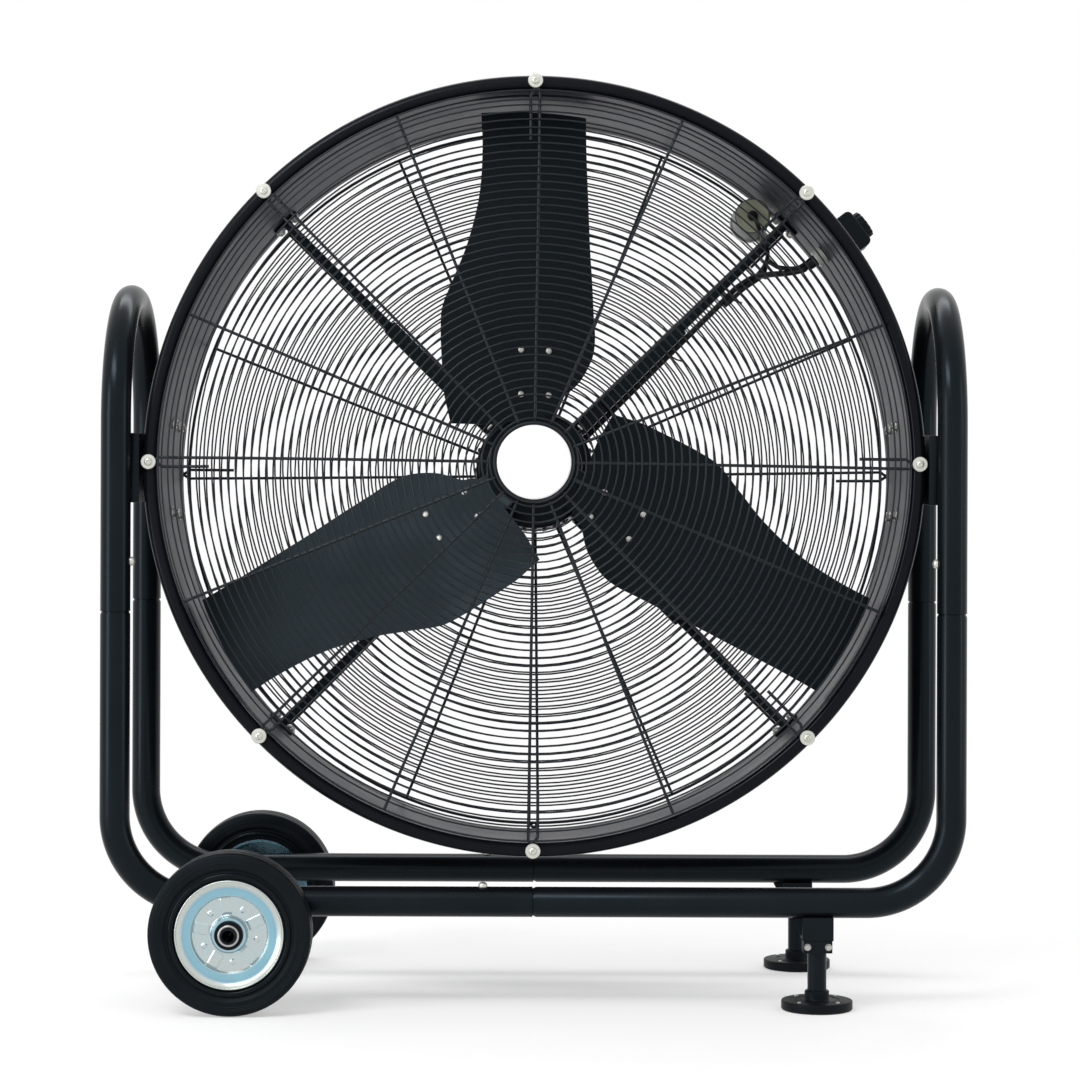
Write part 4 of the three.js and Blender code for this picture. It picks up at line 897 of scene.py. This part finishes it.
motor_shapes = [finned_body(MOTOR_FRONT + 0.012, MOTOR_REAR - 0.012), bell(MOTOR_FRONT, -1), bell(MOTOR_REAR, 1)]
piece("motor_body", [tilted(s) for s in motor_shapes], "drum", PAINT, ["motor"], weld=False)
tie_bolts = [tilted(swung(aimed(hexagon(0.0045, 0.003), (0.062, MOTOR_REAR - 0.0045, 0), (0, 1, 0)), a))
             for a in (0, 90, 180, 270)]
piece("motor_bolts", tie_bolts, "drum", STEEL)

STRUTS = {"upper_right": 45, "upper_left": 135, "lower_left": 225, "lower_right": 315}
STRUT_Y = 0.066
for name, angle in STRUTS.items():
    softened(f"strut_{name}", f"{name}_strut", PAINT, 0.0016)
bolt_at_wall = [aimed(pan_head(0.0048, 0.0036), (0.4725 - 0.0002, STRUT_Y + dy, dz), (-1, 0, 0))
                for dy, dz in ((-0.013, -0.013), (-0.013, 0.013), (0.013, -0.013), (0.013, 0.013))]
bolt_at_motor = [aimed(hexagon(0.0042, 0.0030), (0.0840, STRUT_Y + dy, 0), (1, 0, 0)) for dy in (-0.022, 0.022)]
piece("strut_bolts", [tilted(swung(s, a)) for a in STRUTS.values() for s in bolt_at_wall + bolt_at_motor], "drum",
      STEEL)


# ---- Switch, gland, cable, capacitor ----
SWITCH_ANGLE, SWITCH_Y = 37, -0.020
BOX_LOW, BOX_HIGH, BOX_HALF, BOX_CORNER, BOX_LENGTH = 0.4803, 0.536, 0.026, 0.007, 0.060
section = ([(BOX_LOW, -BOX_HALF)]
           + arc_points((BOX_HIGH - BOX_CORNER, -BOX_HALF + BOX_CORNER), BOX_CORNER, -90, 0, 10)
           + arc_points((BOX_HIGH - BOX_CORNER, BOX_HALF - BOX_CORNER), BOX_CORNER, 0, 90, 10) + [(BOX_LOW, BOX_HALF)])
switch_shape = prism(section, SWITCH_Y - BOX_LENGTH / 2, SWITCH_Y + BOX_LENGTH / 2)
round_edges(piece("switch_housing", [tilted(swung(switch_shape, SWITCH_ANGLE))], "drum",
                  BLACK_PLASTIC, ["switch_box"]), 0.0022, 4, 40)
lid_line = [tilted(swung(block((0.4990, SWITCH_Y - BOX_LENGTH / 2 - 0.0004, -BOX_HALF - 0.0004),
                               (0.4998, SWITCH_Y + BOX_LENGTH / 2 + 0.0004, BOX_HALF + 0.0004)), SWITCH_ANGLE))]
piece("switch_seam", lid_line, "drum", BLACK_PLASTIC)

KNOB_R = 0.019


def ribbed_knob(segments=240, ribs=12):
    """A skirt, then a ribbed grip: r = R - d/2 (1 - w(a)) with w a clipped cosine."""
    angle = np.arange(segments) * 2 * np.pi / segments
    wave = 0.5 + 0.5 * np.clip(2.2 * np.cos(ribs * angle), -1, 1)
    levels = [(0.0, 0.0006, 0), (0.0006, 0.0, 0), (0.0022, 0.0, 0), (0.0026, 0.0004, 1), (0.0088, 0.0006, 1),
              (0.0100, 0.0012, 1), (0.0108, 0.0026, 1), (0.0110, 0.0050, 0.3), (0.0110, 0.0090, 0)]
    rows = [np.stack([(KNOB_R - inset - 0.0015 * share * (1 - wave)) * np.sin(angle), np.full(segments, y),
                      (KNOB_R - inset - 0.0015 * share * (1 - wave)) * np.cos(angle)], -1)
            for y, inset, share in levels]
    cap = np.arange(segments)[None]
    last = cap + (len(rows) - 1) * segments
    return outward(np.concatenate(rows), [grid_faces(len(rows), segments), cap[:, ::-1], last])


knob_seat = (BOX_HIGH + SEAT_GAP, SWITCH_Y, 0)
knob_shapes = [aimed(ribbed_knob(), knob_seat, (1, 0, 0))]
piece("knob", [tilted(swung(s, SWITCH_ANGLE)) for s in knob_shapes], "knob", BLACK_PLASTIC,
      ["switch_knob"])

WALL_FLAT = 0.4770
GLAND_IN = WALL_FLAT - 0.027
NUT_IN = WALL_FLAT - 0.0125
gland_profile = [(0, NUT_IN), (0.0108, NUT_IN), (0.0116, NUT_IN + 0.0012), (0.0118, NUT_IN + 0.0068),
                 (0.0108, NUT_IN + 0.0074), (0.0108, NUT_IN + 0.0086), (0.0120, NUT_IN + 0.0092),
                 (0.0120, WALL_FLAT), (0, WALL_FLAT)]
boot_profile = [(0, GLAND_IN + 0.001), (0.0058, GLAND_IN + 0.001), (0.0062, GLAND_IN), (0.0068, GLAND_IN + 0.0012),
                (0.0082, NUT_IN + 0.0005), (0, NUT_IN + 0.0005)]
ridge = block((-0.0007, NUT_IN + 0.0014, 0.0112), (0.0007, NUT_IN + 0.0064, 0.0124))
ridges = [moved(ridge, Matrix.Rotation(math.radians(a), 3, "Y")) for a in range(0, 360, 20)]


def at_gland(shape):
    """From a shape along +Y to the wall behind the switch."""
    return tilted(swung(moved(moved(shape, turn_from_y((1, 0, 0))), shift=(0, SWITCH_Y, 0)), SWITCH_ANGLE))


piece("gland", [at_gland(s) for s in [revolve(gland_profile, 60, wrap=False)] + ridges], "drum",
      GREY_PLASTIC, ["cable_gland"])
piece("gland_boot", [at_gland(revolve(boot_profile, 40, wrap=False))], "drum", CABLE)

CABLE_R = 0.004
BESIDE = -(0.010 + CABLE_R + 0.0003)


def polar(radius, degrees, y):
    a = math.radians(degrees)
    return (radius * math.cos(a), y, radius * math.sin(a))


def beside_strut(reach, gap=BESIDE, y=STRUT_Y):
    a = math.radians(STRUTS["upper_right"])
    return (reach * math.cos(a) - gap * math.sin(a), y, reach * math.sin(a) + gap * math.cos(a))


def back_share(share):
    return SWITCH_Y + (STRUT_Y - SWITCH_Y) * share


cable_route = ([polar(r, SWITCH_ANGLE, SWITCH_Y)
                for r in (WALL_FLAT - 0.002, GLAND_IN + 0.008, GLAND_IN, GLAND_IN - 0.008)]
               + [polar(GLAND_IN - 0.026, SWITCH_ANGLE + 1.4, back_share(0.163)),
                  polar(GLAND_IN - 0.042, SWITCH_ANGLE + 3.4, back_share(0.488)),
                  polar(GLAND_IN - 0.056, SWITCH_ANGLE + 5, back_share(0.814))]
               + [beside_strut(GLAND_IN - d) for d in (0.08, 0.10, 0.15)]
               + [beside_strut(r) for r in (0.179, 0.12, 0.080)])
curve, heading = spline(cable_route, 14)
piece("cable", [tilted(pipe(curve, heading, CABLE_R, 20))], "drum", CABLE, ["motor_cable"])

CAP_R, CAP_CIRCLE, CAP_ANGLE, CAP_FRONT, CAP_LENGTH = 0.0235, 0.444, 49.6, -0.021, 0.100
capacitor_profile = ([(0, CAP_FRONT + 0.0012), (0.0060, CAP_FRONT + 0.0012), (0.0185, CAP_FRONT + 0.0008),
                      (0.0195, CAP_FRONT)]
                     + arc_points((CAP_R - 0.003, CAP_FRONT + 0.003), 0.003, -90, 0, 8)
                     + [(CAP_R, CAP_FRONT + CAP_LENGTH - 0.004), (CAP_R - 0.0015, CAP_FRONT + CAP_LENGTH - 0.001),
                        (CAP_R - 0.004, CAP_FRONT + CAP_LENGTH), (0, CAP_FRONT + CAP_LENGTH)])


def at_capacitor(shape):
    return tilted(swung(moved(shape, shift=(CAP_CIRCLE, 0, 0)), CAP_ANGLE))


can = piece("capacitor_can", [at_capacitor(revolve(capacitor_profile, 80, wrap=False))], "drum",
            CAPACITOR, ["capacitor"])
cap_axis = at_capacitor((np.array([[0.0, 0, 0], [0, 1, 0]]), []))[0]


def can_reach(points):
    """Distance from the capacitor's own axis."""
    along = cap_axis[1] - cap_axis[0]
    return np.linalg.norm(np.cross(points - cap_axis[0], along), axis=1)


mark(can, "edge", lambda p: smooth_step((can_reach(p) - CAP_R + 0.0022) / 0.0010))
plug = [(0, CAP_FRONT - 0.004), (0.0056, CAP_FRONT - 0.004), (0.0066, CAP_FRONT - 0.003), (0.0070, CAP_FRONT + 0.0011),
        (0, CAP_FRONT + 0.0011)]
piece("capacitor_plug", [at_capacitor(revolve(plug, 40, wrap=False))], "drum", CABLE)
CLIP_SHEET = 0.0016
bore, low, high = CAP_R + SEAT_GAP, STRUT_Y - 0.006, STRUT_Y + 0.006
clip_band = revolve([(bore, low), (bore + CLIP_SHEET, low), (bore + CLIP_SHEET, high), (bore, high)], 80)
lean = math.radians(CAP_ANGLE - STRUTS["upper_right"])
foot_reach, foot_across = CAP_CIRCLE * math.cos(lean), CAP_CIRCLE * math.sin(lean)
clip_foot = block((foot_reach - 0.008, low, 0.0063), (foot_reach + 0.008, high, foot_across - bore - 0.0006))
piece("clip", [at_capacitor(clip_band), tilted(swung(clip_foot, STRUTS["upper_right"]))], "drum",
      STEEL, ["capacitor_clip"])

cap_x, cap_z = CAP_CIRCLE * math.cos(math.radians(CAP_ANGLE)), CAP_CIRCLE * math.sin(math.radians(CAP_ANGLE))
lead_route = [(cap_x, CAP_FRONT - 0.002, cap_z), (cap_x + 0.002, CAP_FRONT - 0.014, cap_z - 0.004),
              (cap_x + 0.008, CAP_FRONT - 0.012, cap_z - 0.020), beside_strut(0.436, 0.004, 0.030),
              beside_strut(0.430, -0.012, 0.050), beside_strut(0.412, BESIDE * 1.45, 0.057),
              beside_strut(0.380, BESIDE * 1.5, 0.060), beside_strut(0.340, BESIDE * 1.45, 0.058)]
curve, heading = spline(lead_route, 12)
gland_lead = [polar(GLAND_IN + 0.003, SWITCH_ANGLE + 0.5, SWITCH_Y + 0.002),
              polar(GLAND_IN - 0.012, SWITCH_ANGLE + 0.9, SWITCH_Y + 0.004),
              polar(GLAND_IN - 0.026, SWITCH_ANGLE + 3.0, back_share(0.30)),
              polar(GLAND_IN - 0.030, SWITCH_ANGLE + 5.2, back_share(0.62)),
              beside_strut(0.404, BESIDE * 1.9, 0.050), beside_strut(0.372, BESIDE * 1.55, 0.052),
              beside_strut(0.345, BESIDE * 1.5, 0.056)]
curve_2, heading_2 = spline(gland_lead, 12)
piece("leads", [tilted(pipe(curve, heading, 0.0028, 16)), tilted(pipe(curve_2, heading_2, 0.0030, 16))], "drum",
      CABLE)

# Cable ties round the strut and its cables, with a cut-off tail.
ties = []
for reach, half_width in ((0.398, 0.0062), (0.352, 0.0062), (0.240, 0.0103), (0.130, 0.0103)):
    loop = ([(STRUT_Y - 0.0118, half_width), (STRUT_Y - 0.0118, BESIDE)]
            + [(STRUT_Y + (CABLE_R + 0.0012) * math.sin(t) * 2.2, BESIDE - (CABLE_R + 0.0012) * math.cos(t))
               for t in np.linspace(-1.2, 1.2, 9)]
            + [(STRUT_Y + 0.0118, BESIDE), (STRUT_Y + 0.0118, half_width), (STRUT_Y, half_width + 0.0014)])
    path = np.array([(reach, y, z) for y, z in loop])
    step = np.roll(path, -1, 0) - np.roll(path, 1, 0)
    ties.append(pipe(path, step, 0.0013, 8, normal=(1, 0, 0), wrap=True))
    tail = np.array([(reach, STRUT_Y - 0.011, BESIDE - 0.002), (reach + 0.002, STRUT_Y - 0.018, BESIDE - 0.012),
                     (reach + 0.006, STRUT_Y - 0.022, BESIDE - 0.020)])
    ties.append(pipe(tail, np.gradient(tail, axis=0), 0.0011, 8))
piece("cable_ties", [tilted(swung(s, STRUTS["upper_right"])) for s in ties], "drum", CABLE)


# ---- Rotor ----
FAN_Y = -0.080
BLADE_ROOT, BLADE_TIP, BLADE_SHEET = 0.054, 0.466, 0.0025
ROOT_PITCH, TIP_PITCH, BLADE_FLAT, CAMBER = 26.0, 18.0, 0.180, 0.006
# Edges of the blade, seen from the front: share of the way out, trailing edge, leading edge in mm.
BLADE_EDGES = np.array([(0, -108, -70), (0.034, -111, 18), (0.087, -116, 34), (0.143, -118, 58), (0.22, -120, 75),
                        (0.286, -121, 79), (0.366, -119, 77), (0.464, -104, 75), (0.575, -87, 72),
                        (0.721, -73, 69.5), (0.867, -69, 67), (1, -71, 66)])


def blade_pitch(reach):
    """The blade's pitch, constant inside BLADE_FLAT and easing linearly to the tip, and the share of the way."""
    out = np.clip((reach - BLADE_FLAT) / (BLADE_TIP - BLADE_FLAT), 0, 1)
    pitch = np.radians(ROOT_PITCH + (TIP_PITCH - ROOT_PITCH) * out)
    return pitch, out


def blade_shape(rows=72, columns=28):
    """Depth y = y0 + c tan(pitch) + CAMBER out (1 - (2t - 1)^2), c across the blade, t its share of the chord."""
    curve, _ = spline(BLADE_EDGES, 12)
    share = np.linspace(0, 1, rows)
    trailing = np.interp(share, curve[:, 0], curve[:, 1]) * MM
    leading = np.interp(share, curve[:, 0], curve[:, 2]) * MM
    reach = BLADE_ROOT + (BLADE_TIP - BLADE_ROOT) * share
    t = (1 - np.cos(np.pi * np.linspace(0, 1, columns))) / 2
    across = trailing[:, None] + (leading - trailing)[:, None] * t
    pitch, out = blade_pitch(reach)
    pitch, out = pitch[:, None], out[:, None]
    depth = FAN_Y + across * np.tan(pitch) + CAMBER * out * (1 - (2 * t - 1) ** 2)
    x = np.minimum(reach[:, None], np.sqrt(BLADE_TIP ** 2 - across ** 2))
    sheets = []
    for face in (-1, 1):
        y = depth + face * BLADE_SHEET / 2 / np.cos(pitch)
        sheets.append(np.stack([x, y, -across], -1).reshape(-1, 3))
    grid = np.arange(rows * columns).reshape(rows, columns)
    edge = np.concatenate([grid[0], grid[1:, -1], grid[-1, -2::-1], grid[-2:0:-1, 0]])
    top = grid_faces(rows, columns, wrap_columns=False)
    offset = rows * columns
    following = np.roll(edge, -1)
    rim = np.stack([edge, following, following + offset, edge + offset], -1)
    return outward(np.concatenate(sheets), [top, top[:, ::-1] + offset, rim[:, ::-1]])


def on_blade(shape, reach, across, side):
    """A shape that stands along +Y, set on the flat part of the blade's front (side -1) or back."""
    pitch = math.radians(ROOT_PITCH)
    y = FAN_Y + across * math.tan(pitch) + side * BLADE_SHEET / 2 / math.cos(pitch)
    return aimed(shape, (reach, y, -across), (0, side * math.cos(pitch), side * math.sin(pitch)))


BLADE_ANGLES = (90, 210, 330)
rivet_places = [(r, c) for r in (0.153, 0.095) for c in (-0.018, 0.018)]
rivet_shapes = []
for index, angle in enumerate(BLADE_ANGLES):
    blade = piece(f"blade_{'abc'[index]}", [tilted(swung(blade_shape(), angle))], "rotor", BLADE_PAINT,
                  [f"blade_{index + 1}"], sharp=60)
    round_edges(blade, 0.0009, 3, 50)
    for reach, across in rivet_places:
        rivet_shapes.append(tilted(swung(on_blade(pan_head(0.0042, 0.0026), reach, across, -1), angle)))
piece("rivets", rivet_shapes, "rotor", PALE_STEEL)

boss_profile = ([(SHAFT_R + SEAT_GAP, FAN_Y - 0.0215), (0.0105, FAN_Y - 0.022), (0.0262, FAN_Y - 0.022)]
                + arc_points((0.0262, FAN_Y - 0.0202), 0.0018, -90, 0, 6)
                + [(0.028, FAN_Y - 0.003), (0.060, FAN_Y - 0.003), (0.0615, FAN_Y - 0.002), (0.062, FAN_Y),
                   (0.0615, FAN_Y + 0.002), (0.060, FAN_Y + 0.003), (0.028, FAN_Y + 0.003), (0.028, FAN_Y + 0.0325),
                   (0.0265, FAN_Y + 0.034), (SHAFT_R + SEAT_GAP, FAN_Y + 0.034)])
ARM_NEAR = BLADE_SHEET / 2 + SEAT_GAP
pitch_turn = Matrix.Rotation(math.radians(ROOT_PITCH), 3, "X")
arm = moved(block((0.020, ARM_NEAR, -0.028), (0.172, ARM_NEAR + 0.005, 0.028)), pitch_turn, (0, FAN_Y, 0))
hub_shapes = [tilted(revolve(boss_profile, 96))] + [tilted(swung(arm, a)) for a in BLADE_ANGLES]
round_edges(piece("hub", hub_shapes, "rotor", PAINT, ["rotor_hub"]), 0.0012, 3)
shaft_front = FAN_Y - 0.022 - 0.002
shaft_profile = [(0, shaft_front), (SHAFT_R - 0.001, shaft_front), (SHAFT_R, shaft_front + 0.001), (SHAFT_R, 0.020),
                 (0, 0.020)]
piece("shaft", [tilted(revolve(shaft_profile, 64, wrap=False))], "rotor", STEEL, ["motor_shaft"])


# ---- Camera, light and stage ----
camera_data = bpy.data.cameras.new("camera")
camera_data.lens, camera_data.sensor_width = CAMERA_LENS, 36
camera_data.shift_x, camera_data.shift_y = CAMERA_SHIFT
camera = bpy.data.objects.new("camera", camera_data)
camera.location = CAMERA_PLACE
camera.rotation_euler = (math.pi / 2, -CAMERA_ROLL, 0)
bpy.context.scene.collection.objects.link(camera)
bpy.context.scene.camera = camera
bpy.context.scene.view_settings.view_transform = "Standard"


def softbox(name, place, target, size, power):
    data = bpy.data.lights.new(name, "AREA")
    data.shape, data.size, data.size_y, data.energy = "RECTANGLE", size[0], size[1], power
    lamp = bpy.data.objects.new(name, data)
    lamp.location = place
    direction = np.array(target) - np.array(place)
    lamp.rotation_euler = Vector(direction / np.linalg.norm(direction)).to_track_quat("-Z", "Y").to_euler()
    bpy.context.scene.collection.objects.link(lamp)


MIDDLE = (0, 0, 0.6)
softbox("left", (-3.3, -2.3, 1.1), MIDDLE, (1.0, 2.4), 46)
softbox("front_top", (-1.6, -2.4, 3.3), MIDDLE, (1.7, 0.8), 58)
softbox("right", (3.6, -1.2, 1.2), MIDDLE, (0.6, 2.2), 12)
softbox("top_back", (0, 1.6, 3.4), MIDDLE, (3.0, 0.8), 40)

AMBIENT = 0.82
FLOOR_HALF, FLOOR_SINK = 6, -0.0003
FADE_START, FADE_END, FLOOR_CLEAR = 0.45, 1.3, 0.42

world = bpy.data.worlds.new("studio")
bpy.context.scene.world = world
world.use_nodes = True
world.node_tree.nodes.clear()
w = Tree(world.node_tree)
path = w.add("LightPath")
seen = w.math("MAXIMUM", w.math("MAXIMUM", path.outputs["Is Camera Ray"], path.outputs["Is Glossy Ray"]),
              path.outputs["Is Transmission Ray"])
white = w.add("Background", {"Color": (1, 1, 1, 1), "Strength": 1.0})
ambient = w.add("Background", {"Color": (1, 1, 1, 1), "Strength": AMBIENT})
both = w.add("MixShader", {0: seen, 1: ambient.outputs[0], 2: white.outputs[0]})
world.node_tree.links.new(both.outputs[0], w.add("OutputWorld").inputs["Surface"])

floor_mesh = bpy.data.meshes.new("floor")
floor_mesh.from_pydata([(x * FLOOR_HALF, y * FLOOR_HALF, FLOOR_SINK) for x, y in ((-1, -1), (1, -1), (1, 1), (-1, 1))],
                       [], [(0, 1, 2, 3)])
floor = bpy.data.objects.new("floor", floor_mesh)
bpy.context.scene.collection.objects.link(floor)
floor_material = bpy.data.materials.new("pale_floor")
floor_material.use_nodes = True
floor_material.node_tree.nodes.clear()
f = Tree(floor_material.node_tree)
pale = f.add("BsdfDiffuse", {"Color": (0.97, 0.97, 0.97, 1)})
clear = f.add("BsdfTransparent")
distance = f.add("VectorMath", {0: f.add("TexCoord").outputs["Object"]}, operation="LENGTH").outputs["Value"]
fade = f.spread(distance, FADE_START, FADE_END, FLOOR_CLEAR, 1.0)
blend = f.add("MixShader", {0: fade, 1: pale.outputs[0], 2: clear.outputs[0]})
floor_material.node_tree.links.new(blend.outputs[0], f.add("OutputMaterial").inputs["Surface"])
floor_mesh.materials.append(floor_material)

bpy.context.view_layer.update()
